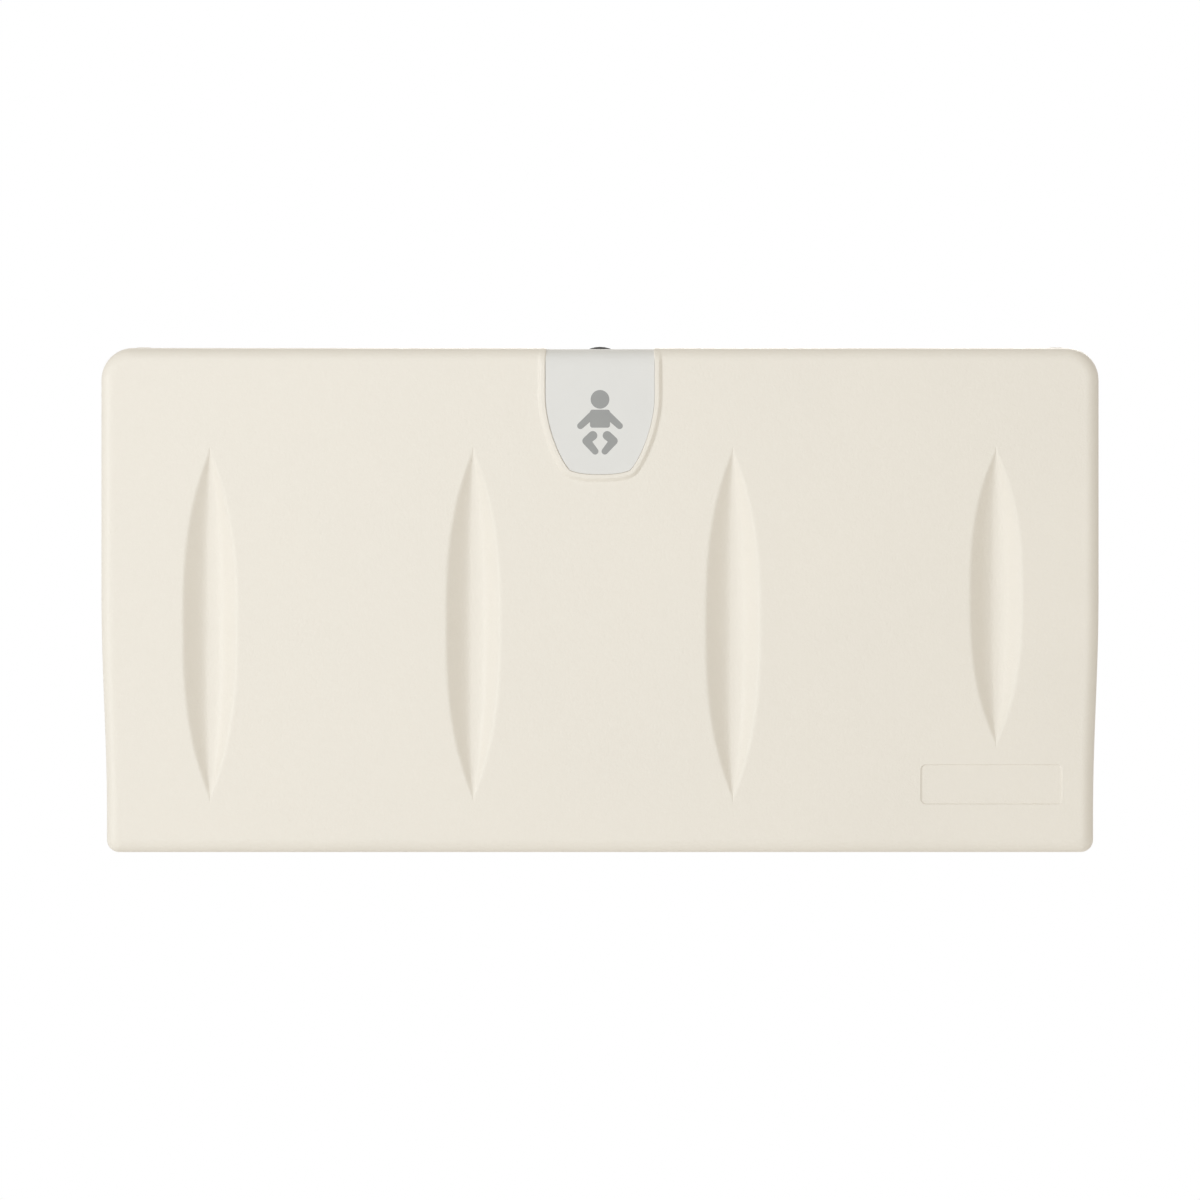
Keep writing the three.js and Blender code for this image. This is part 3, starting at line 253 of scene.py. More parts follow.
class MeshDraft:
    """Points and faces of a piece while it is being made"""

    def __init__(self):
        self.points = []
        self.faces = []

    def add(self, points, faces):
        start = len(self.points)
        self.points += [tuple(p) for p in points]
        self.faces += [tuple(start + i for i in face) for face in faces]

    def add_rings(self, rings, closed=True):
        """Bands of quads between rings of equally many points"""
        count = len(rings[0])
        last = count if closed else count - 1
        faces = []
        for k in range(len(rings) - 1):
            for i in range(last):
                j = (i + 1) % count
                faces.append((k * count + i, k * count + j, (k + 1) * count + j, (k + 1) * count + i))
        self.add([p for ring in rings for p in ring], faces)

    def add_plane(self, outlines, keep, y, flip=False):
        found, faces = fill_plane(outlines, keep)
        if flip:
            faces = [tuple(reversed(face)) for face in faces]
        self.add([(x, y, z) for x, z in found], faces)

    def add_bar(self, outline, x0, x1):
        """A closed bar with its outline in Y and Z"""
        count = len(outline)
        near = [(x0, y, z) for y, z in outline]
        far = [(x1, y, z) for y, z in outline]
        sides = [(i, (i + 1) % count, count + (i + 1) % count, count + i) for i in range(count)]
        ends = [tuple(reversed(range(count))), tuple(range(count, 2 * count))]
        self.add(near + far, sides + ends)

    def mesh(self, name, weld=1e-6, recalculate=True):
        bm = bmesh.new()
        verts = [bm.verts.new(p) for p in self.points]
        for face in self.faces:
            if len(set(face)) > 2:
                bm.faces.new([verts[i] for i in face])
        bmesh.ops.remove_doubles(bm, verts=bm.verts, dist=weld)
        bmesh.ops.dissolve_degenerate(bm, dist=weld, edges=bm.edges)
        if recalculate:
            bmesh.ops.recalc_face_normals(bm, faces=bm.faces)
        made = bpy.data.meshes.new(name)
        bm.to_mesh(made)
        bm.free()
        return made


def new_object(name, mesh):
    made = bpy.data.objects.new(name, mesh)
    bpy.context.scene.collection.objects.link(made)
    return made


def plain_mesh(piece):
    """Turns the modifiers into plain mesh"""
    graph = bpy.context.evaluated_depsgraph_get()
    piece.data = bpy.data.meshes.new_from_object(piece.evaluated_get(graph))
    piece.modifiers.clear()
    return piece.data


def settle(piece, sharp=35):
    """Makes a plain mesh, smooth up to an angle, whose larger faces set the shading"""
    made = plain_mesh(piece)
    made.shade_smooth()
    made.set_sharp_from_angle(angle=math.radians(sharp))
    weighted = piece.modifiers.new("face_weight", "WEIGHTED_NORMAL")
    weighted.keep_sharp = True
    plain_mesh(piece)
    return piece


def solidify(piece, thickness):
    wall = piece.modifiers.new("wall", "SOLIDIFY")
    wall.thickness = thickness
    wall.offset = -1
    wall.use_even_offset = True
    wall.use_quality_normals = True


def soften(piece, width, segments=2, angle=40):
    bevel = piece.modifiers.new("soft_edge", "BEVEL")
    bevel.width = width
    bevel.segments = segments
    bevel.limit_method = "ANGLE"
    bevel.angle_limit = math.radians(angle)
    bevel.use_clamp_overlap = True
    bevel.miter_outer = "MITER_ARC"


def finish_piece(piece, material, body, slot, *nodes):
    piece.data.materials.clear()
    piece.data.materials.append(material)
    if nodes:
        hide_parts(*nodes)
    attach(piece, body)
    return piece


def dressed(node, material, edge, segments=2, sharp=35):
    """A copy of a node with soft edges and a smooth finish, standing for the node"""
    bm = bmesh.new()
    bm.from_mesh(frame["nodes"][node].data)
    bmesh.ops.remove_doubles(bm, verts=bm.verts, dist=1e-6)
    bmesh.ops.dissolve_limit(bm, angle_limit=math.radians(0.5), verts=bm.verts, edges=bm.edges)
    made = bpy.data.meshes.new(node + "_finish")
    bm.to_mesh(made)
    bm.free()
    piece = new_object(node + "_finish", made)
    made.shade_smooth()
    if edge > 0:
        soften(piece, edge, segments)
    settle(piece, sharp)
    return finish_piece(piece, material, BODY_OF[node], SLOT_OF[node], node)


# Node groups shared by the finishes


def node_group(name, inputs, outputs):
    group = bpy.data.node_groups.new(name, "ShaderNodeTree")
    for label, default in inputs:
        socket = group.interface.new_socket(name=label, in_out="INPUT", socket_type="NodeSocketFloat")
        socket.default_value = default
    for label, kind in outputs:
        group.interface.new_socket(name=label, in_out="OUTPUT", socket_type=kind)
    return group, group.nodes.new("NodeGroupInput"), group.nodes.new("NodeGroupOutput")


def math_node(tree, operation, first, second):
    node = tree.nodes.new("ShaderNodeMath")
    node.operation = operation
    for socket, value in zip(node.inputs, (first, second)):
        if isinstance(value, (int, float)):
            socket.default_value = value
        else:
            tree.links.new(value, socket)
    return node.outputs[0]


def range_node(tree, value, low, high, from_low=0.0, from_high=1.0):
    node = tree.nodes.new("ShaderNodeMapRange")
    node.inputs["From Min"].default_value = from_low
    node.inputs["From Max"].default_value = from_high
    for label, limit in (("To Min", low), ("To Max", high)):
        if isinstance(limit, (int, float)):
            node.inputs[label].default_value = limit
        else:
            tree.links.new(limit, node.inputs[label])
    tree.links.new(value, node.inputs["Value"])
    return node.outputs["Result"]


def noise_node(tree, vector, scale, detail=2.0):
    node = tree.nodes.new("ShaderNodeTexNoise")
    node.inputs["Detail"].default_value = detail
    if isinstance(scale, (int, float)):
        node.inputs["Scale"].default_value = scale
    else:
        tree.links.new(scale, node.inputs["Scale"])
    tree.links.new(vector, node.inputs["Vector"])
    return node.outputs["Fac"]


def moulded_grain_group():
    """Fine pebble of a moulded surface, with a faint cloud in colour and gloss"""
    group, given, result = node_group(
        "moulded_grain",
        [("Grain Scale", 620.0), ("Cloud Scale", 9.0), ("Cloud", 0.02), ("Gloss Spread", 0.08)],
        [("Height", "NodeSocketFloat"), ("Shade", "NodeSocketFloat"), ("Gloss", "NodeSocketFloat")],
    )
    place = group.nodes.new("ShaderNodeTexCoord").outputs["Object"]
    pebble = group.nodes.new("ShaderNodeTexVoronoi")
    pebble.feature = "SMOOTH_F1"
    pebble.inputs["Smoothness"].default_value = 0.7
    group.links.new(given.outputs["Grain Scale"], pebble.inputs["Scale"])
    group.links.new(place, pebble.inputs["Vector"])
    fine = noise_node(group, place, math_node(group, "MULTIPLY", given.outputs["Grain Scale"], 1.7), 3.0)
    height = math_node(group, "ADD", pebble.outputs["Distance"], math_node(group, "MULTIPLY", fine, 0.6))
    group.links.new(height, result.inputs["Height"])
    cloud = noise_node(group, place, given.outputs["Cloud Scale"], 3.0)
    low = math_node(group, "SUBTRACT", 1.0, given.outputs["Cloud"])
    high = math_node(group, "ADD", 1.0, given.outputs["Cloud"])
    group.links.new(range_node(group, cloud, low, high, 0.3, 0.7), result.inputs["Shade"])
    low = math_node(group, "MULTIPLY", given.outputs["Gloss Spread"], -1.0)
    gloss = range_node(group, cloud, low, given.outputs["Gloss Spread"], 0.3, 0.7)
    group.links.new(gloss, result.inputs["Gloss"])
    return group


def brushed_group():
    """Fine drawn lines, long in the directions with a small stretch"""
    group, given, result = node_group(
        "brushed_lines",
        [("Line Scale", 900.0), ("Stretch X", 1.0), ("Stretch Z", 1.0)],
        [("Height", "NodeSocketFloat"), ("Shade", "NodeSocketFloat")],
    )
    place = group.nodes.new("ShaderNodeTexCoord").outputs["Object"]
    parts = group.nodes.new("ShaderNodeSeparateXYZ")
    group.links.new(place, parts.inputs[0])
    drawn = group.nodes.new("ShaderNodeCombineXYZ")
    group.links.new(math_node(group, "MULTIPLY", parts.outputs[0], given.outputs["Stretch X"]), drawn.inputs[0])
    group.links.new(parts.outputs[1], drawn.inputs[1])
    group.links.new(math_node(group, "MULTIPLY", parts.outputs[2], given.outputs["Stretch Z"]), drawn.inputs[2])
    lines = noise_node(group, drawn.outputs[0], given.outputs["Line Scale"], 2.0)
    group.links.new(lines, result.inputs["Height"])
    group.links.new(range_node(group, lines, 0.9, 1.06, 0.3, 0.7), result.inputs["Shade"])
    return group


def weave_group():
    """Two sets of threads over and under each other, across X and along Z, with painted shade where they dip and a
    painted highlight on their crowns
    """
    group, given, result = node_group(
        "strap_weave_painted_shade",
        [("Across", 620.0), ("Along", 480.0)],
        [("Height", "NodeSocketFloat"), ("Shade", "NodeSocketFloat")],
    )
    place = group.nodes.new("ShaderNodeTexCoord").outputs["Object"]
    parts = group.nodes.new("ShaderNodeSeparateXYZ")
    group.links.new(place, parts.inputs[0])
    turn = 2 * math.pi
    across = math_node(group, "MULTIPLY", parts.outputs[0], given.outputs["Across"])
    along = math_node(group, "MULTIPLY", parts.outputs[2], given.outputs["Along"])
    warp = math_node(group, "SINE", math_node(group, "MULTIPLY", across, turn), 0)
    slant = math_node(group, "ADD", along, math_node(group, "MULTIPLY", across, 0.5))
    weft = math_node(group, "SINE", math_node(group, "MULTIPLY", slant, turn), 0)
    height = math_node(group, "ADD", math_node(group, "ABSOLUTE", warp, 0), math_node(group, "MULTIPLY", weft, 0.5))
    group.links.new(height, result.inputs["Height"])
    # painted shade and highlight: the colour follows the weave's height, darker in the dips between threads and
    # lighter on their crowns
    group.links.new(range_node(group, height, 0.6, 1.15, -0.5, 1.5), result.inputs["Shade"])
    return group


GROUP_MAKERS = {
    "moulded_grain": moulded_grain_group,
    "brushed_lines": brushed_group,
    "strap_weave_painted_shade": weave_group,
}


def shared_group(name):
    return bpy.data.node_groups.get(name) or GROUP_MAKERS[name]()


def finish_material(name, base, roughness, group_name, settings, relief, metallic=0.0, specular=0.4):
    """A surface whose colour, gloss and relief vary as a shared group says"""
    known = bpy.data.materials.get(name)
    if known:
        return known
    made = bpy.data.materials.new(name)
    made.use_nodes = True
    tree = made.node_tree
    shader = tree.nodes["Principled BSDF"]
    shader.inputs["Roughness"].default_value = roughness
    shader.inputs["Metallic"].default_value = metallic
    shader.inputs["Specular IOR Level"].default_value = specular
    effect = tree.nodes.new("ShaderNodeGroup")
    effect.node_tree = shared_group(group_name)
    for label, value in settings.items():
        effect.inputs[label].default_value = value
    tint = tree.nodes.new("ShaderNodeMix")
    tint.data_type = "RGBA"
    tint.blend_type = "MULTIPLY"
    tint.inputs["Factor"].default_value = 1.0
    tint.inputs["A"].default_value = (*base, 1.0)
    tree.links.new(effect.outputs["Shade"], tint.inputs["B"])
    tree.links.new(tint.outputs["Result"], shader.inputs["Base Color"])
    if "Gloss" in effect.outputs:
        tree.links.new(math_node(tree, "ADD", effect.outputs["Gloss"], roughness), shader.inputs["Roughness"])
    bump = tree.nodes.new("ShaderNodeBump")
    bump.inputs["Strength"].default_value = 1.0
    bump.inputs["Distance"].default_value = relief
    tree.links.new(effect.outputs["Height"], bump.inputs["Height"])
    tree.links.new(bump.outputs["Normal"], shader.inputs["Normal"])
    return made


def cream_plastic():
    grain = {"Grain Scale": 520.0, "Cloud Scale": 7.0, "Cloud": 0.012, "Gloss Spread": 0.05}
    colours = bpy.context.scene.station_colours
    return finish_material("cream_moulding", colours.cream, 0.46, "moulded_grain", grain, 0.00012)


def trim_plastic():
    grain = {"Grain Scale": 900.0, "Cloud Scale": 12.0, "Cloud": 0.015, "Gloss Spread": 0.05}
    colours = bpy.context.scene.station_colours
    return finish_material("trim_moulding", colours.trim, 0.45, "moulded_grain", grain, 0.00006)


def badge_label():
    grain = {"Grain Scale": 2400.0, "Cloud Scale": 20.0, "Cloud": 0.01, "Gloss Spread": 0.04}
    colours = bpy.context.scene.station_colours
    return finish_material("badge_label", colours.badge, 0.62, "moulded_grain", grain, 0.00001, specular=0.2)


def figure_print():
    grain = {"Grain Scale": 2400.0, "Cloud Scale": 60.0, "Cloud": 0.03, "Gloss Spread": 0.04}
    colours = bpy.context.scene.station_colours
    return finish_material("figure_print", colours.figure, 0.45, "moulded_grain", grain, 0.00001)


def dark_rubber():
    grain = {"Grain Scale": 1500.0, "Cloud Scale": 60.0, "Cloud": 0.08, "Gloss Spread": 0.06}
    colours = bpy.context.scene.station_colours
    return finish_material("dark_rubber", colours.rubber, 0.75, "moulded_grain", grain, 0.00005)


def black_plastic():
    grain = {"Grain Scale": 1300.0, "Cloud Scale": 50.0, "Cloud": 0.06, "Gloss Spread": 0.05}
    colours = bpy.context.scene.station_colours
    return finish_material("black_moulding", colours.black, 0.42, "moulded_grain", grain, 0.00005)


def strap_webbing():
    colours = bpy.context.scene.station_colours
    return finish_material(
        "strap_webbing", colours.webbing, 0.85, "strap_weave_painted_shade", {"Across": 620.0, "Along": 480.0}, 0.0003,
        specular=0.2,
    )


def stitch_thread():
    grain = {"Grain Scale": 4000.0, "Cloud Scale": 300.0, "Cloud": 0.1, "Gloss Spread": 0.05}
    colours = bpy.context.scene.station_colours
    return finish_material("stitch_thread", colours.thread, 0.8, "moulded_grain", grain, 0.00003)


def drawn_steel(name, settings):
    colours = bpy.context.scene.station_colours
    return finish_material(
        name, colours.steel, 0.34, "brushed_lines", {"Line Scale": 900.0, **settings}, 0.00002,
        metallic=1.0, specular=0.5,
    )


def hinge_steel():
    return drawn_steel("hinge_steel", {"Stretch X": 0.02})


def strip_steel():
    return drawn_steel("strip_steel", {"Stretch Z": 0.02})


# Node trees for what repeats


def repeat_tree(name, sizes):
    """An empty geometry tree with named inputs"""
    tree = bpy.data.node_groups.new(name, "GeometryNodeTree")
    tree.interface.new_socket(name="Geometry", in_out="INPUT", socket_type="NodeSocketGeometry")
    for label, kind in sizes:
        tree.interface.new_socket(name=label, in_out="INPUT", socket_type=kind)
    tree.interface.new_socket(name="Geometry", in_out="OUTPUT", socket_type="NodeSocketGeometry")
    return tree, tree.nodes.new("NodeGroupInput"), tree.nodes.new("NodeGroupOutput")


def grown_piece(name, tree, values):
    """The plain mesh that a tree makes from the values of its named inputs"""
    piece = new_object(name, bpy.data.meshes.new(name))
    grower = piece.modifiers.new("grow", "NODES")
    grower.node_group = tree
    for item in tree.interface.items_tree:
        if item.in_out == "INPUT" and item.name in values:
            grower[item.identifier] = values[item.name]
    plain_mesh(piece)
    if not piece.data.polygons:
        raise RuntimeError(f"{name}: the tree made no faces")
    return piece


def stitch_tree():
    """Rows of stitches across a strip, laid on its surface by rays along Y"""
    known = bpy.data.node_groups.get("stitch_rows")
    if known:
        return known
    tree, given, result = repeat_tree("stitch_rows", [
        ("Strip", "NodeSocketObject"), ("Width", "NodeSocketFloat"), ("Length", "NodeSocketFloat"),
        ("Columns", "NodeSocketInt"), ("Rows", "NodeSocketInt"), ("Place", "NodeSocketVector"),
        ("Stitch", "NodeSocketVector"), ("Finish", "NodeSocketMaterial"),
    ])
    link = tree.links.new
    grid = tree.nodes.new("GeometryNodeMeshGrid")
    for label, socket in (("Width", 0), ("Length", 1), ("Columns", 2), ("Rows", 3)):
        link(given.outputs[label], grid.inputs[socket])
    upright = tree.nodes.new("GeometryNodeTransform")
    upright.inputs["Rotation"].default_value = (math.pi / 2, 0, 0)
    link(grid.outputs["Mesh"], upright.inputs["Geometry"])
    link(given.outputs["Place"], upright.inputs["Translation"])
    strip = tree.nodes.new("GeometryNodeObjectInfo")
    link(given.outputs["Strip"], strip.inputs["Object"])
    ray = tree.nodes.new("GeometryNodeRaycast")
    ray.inputs["Ray Direction"].default_value = (0, -1, 0)
    ray.inputs["Ray Length"].default_value = 0.1
    link(strip.outputs["Geometry"], ray.inputs["Target Geometry"])
    laid = tree.nodes.new("GeometryNodeSetPosition")
    link(upright.outputs["Geometry"], laid.inputs["Geometry"])
    link(ray.outputs["Hit Position"], laid.inputs["Position"])
    bead = tree.nodes.new("GeometryNodeMeshUVSphere")
    bead.inputs["Segments"].default_value = 10
    bead.inputs["Rings"].default_value = 6
    bead.inputs["Radius"].default_value = 0.5
    spread = tree.nodes.new("GeometryNodeInstanceOnPoints")
    link(laid.outputs["Geometry"], spread.inputs["Points"])
    link(bead.outputs["Mesh"], spread.inputs["Instance"])
    link(given.outputs["Stitch"], spread.inputs["Scale"])
    real = tree.nodes.new("GeometryNodeRealizeInstances")
    link(spread.outputs["Instances"], real.inputs["Geometry"])
    finish = tree.nodes.new("GeometryNodeSetMaterial")
    link(real.outputs["Geometry"], finish.inputs["Geometry"])
    link(given.outputs["Finish"], finish.inputs["Material"])
    link(finish.outputs["Geometry"], result.inputs["Geometry"])
    return tree


def stitch_rows(name, web, strap, z):
    """Stitches across the webbing in a block whose middle is at z"""
    room = strap.width - 3 * strap.stitch
    length_over = strap.row_gap * (strap.stitch_rows - 1)
    piece = grown_piece(name, stitch_tree(), {
        "Strip": web, "Width": room, "Length": length_over,
        "Columns": int(room / (strap.stitch * 1.35)) + 1, "Rows": strap.stitch_rows,
        "Place": (0, 0, z), "Stitch": (strap.stitch, strap.thread, strap.thread),
        "Finish": stitch_thread(),
    })
    piece.data.shade_smooth()
    return piece


def button_screw():
    """A low round screw head on its axis, with a six-sided socket"""
    sides = 36
    turn = [2 * math.pi * i / sides for i in range(sides)]
    profile = [(1.0, -0.1), (1.0, 0.06)] + [
        (math.cos(math.radians(a)) * 0.96 + 0.04, 0.06 + 0.4 * math.sin(math.radians(a))) for a in range(15, 60, 15)
    ]
    rings = [[(r * math.cos(t), r * math.sin(t), h) for t in turn] for r, h in profile]
    for reach, height in ((0.42, 0.4), (0.4, 0.37), (0.4, 0.12)):
        ring = []
        for t in turn:
            corner = math.radians(30) - abs(t % math.radians(60) - math.radians(30))
            r = reach * math.cos(math.radians(30)) / math.cos(math.radians(30) - corner)
            ring.append((r * math.cos(t), r * math.sin(t), height))
        rings.append(ring)
    draft = MeshDraft()
    draft.add_rings(rings)
    draft.add(rings[-1], [tuple(range(sides))])
    draft.add(rings[0], [tuple(range(sides))])
    return settle(new_object("screw_head", draft.mesh("screw_head")), 40)


def screw_tree():
    """A straight run of screw heads"""
    known = bpy.data.node_groups.get("screw_run")
    if known:
        return known
    tree, given, result = repeat_tree("screw_run", [
        ("Screw", "NodeSocketObject"), ("Count", "NodeSocketInt"), ("Start", "NodeSocketVector"),
        ("Step", "NodeSocketVector"), ("Turn", "NodeSocketRotation"), ("Radius", "NodeSocketFloat"),
        ("Finish", "NodeSocketMaterial"),
    ])
    link = tree.links.new
    line = tree.nodes.new("GeometryNodeMeshLine")
    link(given.outputs["Count"], line.inputs["Count"])
    link(given.outputs["Start"], line.inputs["Start Location"])
    link(given.outputs["Step"], line.inputs["Offset"])
    screw = tree.nodes.new("GeometryNodeObjectInfo")
    link(given.outputs["Screw"], screw.inputs["Object"])
    spread = tree.nodes.new("GeometryNodeInstanceOnPoints")
    link(line.outputs["Mesh"], spread.inputs["Points"])
    link(screw.outputs["Geometry"], spread.inputs["Instance"])
    link(given.outputs["Turn"], spread.inputs["Rotation"])
    link(given.outputs["Radius"], spread.inputs["Scale"])
    real = tree.nodes.new("GeometryNodeRealizeInstances")
    link(spread.outputs["Instances"], real.inputs["Geometry"])
    finish = tree.nodes.new("GeometryNodeSetMaterial")
    link(real.outputs["Geometry"], finish.inputs["Geometry"])
    link(given.outputs["Finish"], finish.inputs["Material"])
    link(finish.outputs["Geometry"], result.inputs["Geometry"])
    return tree


# Bed shell


def panel_half(sizes, z):
    fall = sizes.height / 2 - sizes.taper_end
    return sizes.width / 2 - sizes.narrowing * smoothstep(-z, 0, fall)


def panel_outline(sizes, inset):
    share = min(inset / sizes.edge_round, 1)
    foot_radius = sizes.foot_corner * (1 - 0.7 * share)
    top_radius = sizes.top_corner - sizes.edge_round * share
    foot = -sizes.height / 2 + inset
    top = sizes.height / 2 - inset
    right = arc(
        panel_half(sizes, foot) - inset - foot_radius, foot + foot_radius, foot_radius, -90, 0, 8,
    )
    step = 0.01 * MM
    for z in (sizes.heel_top - step, sizes.heel_top + step):
        right.append((panel_half(sizes, z) - inset, z))
    for z in np.linspace(-sizes.height / 2 + sizes.taper_end, 0, 10):
        right.append((panel_half(sizes, z) - inset, float(z)))
    right += arc(sizes.width / 2 - inset - top_radius, top - top_radius, top_radius, 0, 90, 12)
    return mirrored(right)


def flute_places(sizes):
    """Middle, lower tip and half width of each flute"""
    aside = sizes.flute_aside
    return [
        (aside - sizes.flute_outer, sizes.flute_foot, sizes.flute_half),
        (aside - sizes.flute_inner, sizes.flute_foot, sizes.flute_half),
        (aside + sizes.flute_inner, sizes.flute_foot, sizes.flute_half),
        (aside + sizes.flute_outer, sizes.short_foot, sizes.short_half),
    ]


def flute_depth(sizes, width, offset):
    """Depth of a flute of some half width at an offset from its middle, below zero outside it"""
    share, bend = abs(offset) / width, sizes.flute_valley
    rise = share - bend / 2
    if share < bend:
        turn = share / bend
        rise = bend * (turn ** 3 - turn ** 4 / 2)
    return sizes.flute_steep * width * (1 - bend / 2 - rise)


def flute_patch(sizes, x, foot, half_width, rows=96, columns=48):
    """Grid of points over one flute with its soft edge, and the outline of the patch"""
    middle = (sizes.flute_top + foot) / 2
    half = (sizes.flute_top - foot) / 2
    margin = 3 * MM
    reach = half + 2 * margin
    grid = []
    for i in range(rows + 1):
        along = -1 + 2 * i / rows
        z = middle + along * reach
        share = along * reach / half
        width = max(half_width * (1 - abs(share) ** sizes.flute_fullness), 0.05 * MM)
        edge = (half_width + margin) * (1 - abs(along) ** sizes.flute_fullness)
        brim = flute_depth(sizes, width, edge)
        soft = min(max(-brim, 0.02 * MM), sizes.flute_edge)
        row = []
        for k in range(columns + 1):
            offset = edge * (-1 + 2 * k / columns)
            depth = flute_depth(sizes, width, offset)
            blend = max(soft - abs(depth), 0) / soft
            sunk = max(depth, 0) + blend * blend * soft / 4
            if k in (0, columns):
                sunk = 0
            row.append((x + offset, -sizes.front + sunk, z))
        grid.append(row)
    right = [(row[-1][0], row[-1][2]) for row in grid]
    left = [(row[0][0], row[0][2]) for row in grid[1:-1]]
    return grid, right + left[::-1]


def badge_half_width(badge, sizes):
    """Height and half width of the badge's outline from its foot up to its straight sides"""
    top = sizes.height / 2
    foot = top - badge.drop
    shoulder = top - badge.straight
    rise = 4 * MM
    pull = (shoulder - foot) / 3
    waist = (badge.half + badge.foot_half) / 2
    curve = interpolate_bezier(
        (badge.foot_half, foot + rise, 0), (waist, foot + pull * 0.7, 0),
        (badge.half, shoulder - pull, 0), (badge.half, shoulder, 0), 24,
    )
    base = interpolate_bezier(
        (0, foot, 0), (badge.foot_half * 0.55, foot, 0),
        (badge.foot_half * 0.86, foot + rise * 0.45, 0), (badge.foot_half, foot + rise, 0), 12,
    )
    return [(p[0], p[1]) for p in base[:-1]] + [(p[0], p[1]) for p in curve]


def on_panel(sizes, x, run, lift):
    """Point and normal on the panel's face, which runs back over its top edge"""
    flat = sizes.height / 2 - sizes.edge_round
    round_run = sizes.edge_round * math.pi / 2
    if run <= flat:
        return (x, -sizes.front - lift, run), (0, -1, 0)
    if run <= flat + round_run:
        angle = (run - flat) / sizes.edge_round
        reach = sizes.edge_round + lift
        y = -sizes.front + sizes.edge_round - reach * math.cos(angle)
        return (x, y, flat + reach * math.sin(angle)), (0, -math.cos(angle), math.sin(angle))
    y = -sizes.front + sizes.edge_round + run - flat - round_run
    return (x, y, sizes.height / 2 + lift), (0, 0, 1)


def over_edge(sizes, run):
    """From 0 on the panel's face to 1 where the face has turned over the top edge"""
    flat = sizes.height / 2 - sizes.edge_round
    return smoothstep(run, flat - 6 * MM, flat + sizes.edge_round)


def badge_run_end(badge, sizes):
    return sizes.height / 2 - sizes.edge_round + sizes.edge_round * math.pi / 2 + badge.wrap


def bead_section(share):
    """Height of the bead over its width, steep at the badge and sloping off outwards"""
    return smoothstep(share, 0, 0.15) * (1 - smoothstep(share, 0.5, 1))


def bead_rings(badge, sizes, steps=18):
    """Cross sections of the bead along the badge's outline, from one end over the foot to the other"""
    end = badge_run_end(badge, sizes)
    right = badge_half_width(badge, sizes)
    shoulder = right[-1][1]
    right += [(badge.half, float(z)) for z in np.linspace(shoulder, end, 40)[1:]]
    path = [(-x, z) for x, z in reversed(right)] + right[1:]
    rings = []
    for i, (x, z) in enumerate(path):
        before, after = path[max(i - 1, 0)], path[min(i + 1, len(path) - 1)]
        along = Vector((after[0] - before[0], after[1] - before[1])).normalized()
        outward = (along.y, -along.x)
        low = 1 - 0.9 * over_edge(sizes, z)
        ring = []
        for k in range(steps + 1):
            share = (k / steps) ** 1.5
            across = badge.bead_width * share - badge.bead_tuck
            rise = badge.bead_rise * low * bead_section(share)
            point, _ = on_panel(sizes, x + outward[0] * across, z + outward[1] * across, rise - 0.15 * MM)
            ring.append(point)
        for across in (badge.bead_width - badge.bead_tuck, -badge.bead_tuck):
            point, _ = on_panel(sizes, x + outward[0] * across, z + outward[1] * across, -badge.bead_root)
            ring.append(point)
        rings.append(ring)
    return rings


def shell_ring(sizes, badge, inset, y, angle):
    """Ring of the skin at an angle of its round edge, sunk where the badge runs over the top"""
    ring = [(x, y, z) for x, z in panel_outline(sizes, inset)]
    half = len(ring) // 2
    top = ring[half - 1][2]
    run = sizes.height / 2 + sizes.edge_round * (math.pi / 2 - 1 - angle)
    sunk = badge.sink * over_edge(sizes, run)
    low_y, low_z = y + sunk * math.sin(angle), top - sunk * math.cos(angle)
    outer, inner = badge.half + badge.bead_width / 2, badge.half - badge.bead_tuck
    seat = [(outer, y, top), (inner, low_y, low_z), (-inner, low_y, low_z), (-outer, y, top)]
    return ring[:half] + seat + ring[half:]


def shell_draft(sizes, badge):
    draft = MeshDraft()
    back = shell_ring(sizes, badge, 0, -sizes.back, 0)
    rings = [[(x, -sizes.heel_back if z < sizes.heel_top else y, z) for x, y, z in back]]
    steps = 14
    for i in range(steps + 1):
        angle = math.pi / 2 * i / steps
        inset = sizes.edge_round * (1 - math.cos(angle))
        y = -sizes.front + sizes.edge_round * (1 - math.sin(angle))
        rings.append(shell_ring(sizes, badge, inset, y, angle))
    rings.append(shell_ring(sizes, badge, sizes.edge_round + 0.6 * MM, -sizes.front, math.pi))
    brim = [(x, z) for x, _, z in rings[-1]]
    draft.add_rings(rings)
    holes = []
    for x, foot, half_width in flute_places(sizes):
        grid, patch = flute_patch(sizes, x, foot, half_width)
        draft.add_rings(grid, closed=False)
        holes.append(patch)
    half_width, half_height = sizes.sign_width / 2, sizes.sign_height / 2
    sign = []
    for share, sunk in ((-0.5, 0), (0, 0), (0.25, 0.12), (0.75, 0.88), (1, 1), (1.5, 1)):
        inset = share * sizes.sign_slope
        field = rounded_rect(
            sizes.sign_aside - half_width + inset, sizes.sign_aside + half_width - inset,
            sizes.sign_middle - half_height + inset, sizes.sign_middle + half_height - inset,
            sizes.sign_corner - inset,
        )
        sign.append([(x, -sizes.front + sunk * sizes.sign_depth, z) for x, z in field])
    draft.add_rings(sign)
    draft.add(sign[-1], [tuple(range(len(sign[-1])))])
    holes.append([(x, z) for x, _, z in sign[0]])
    draft.add_plane([brim] + holes, lambda x, z: not any(inside(x, z, hole) for hole in holes), -sizes.front)
    return draft


def heel_outline(sizes):
    back, top, wall = -sizes.heel_back, sizes.heel_top, sizes.wall
    foot = -sizes.height / 2 + wall
    return [
        (back, foot), (back, top), (-sizes.back, top), (-sizes.back, top + wall),
        (back - wall, top + wall), (back - wall, foot),
    ]


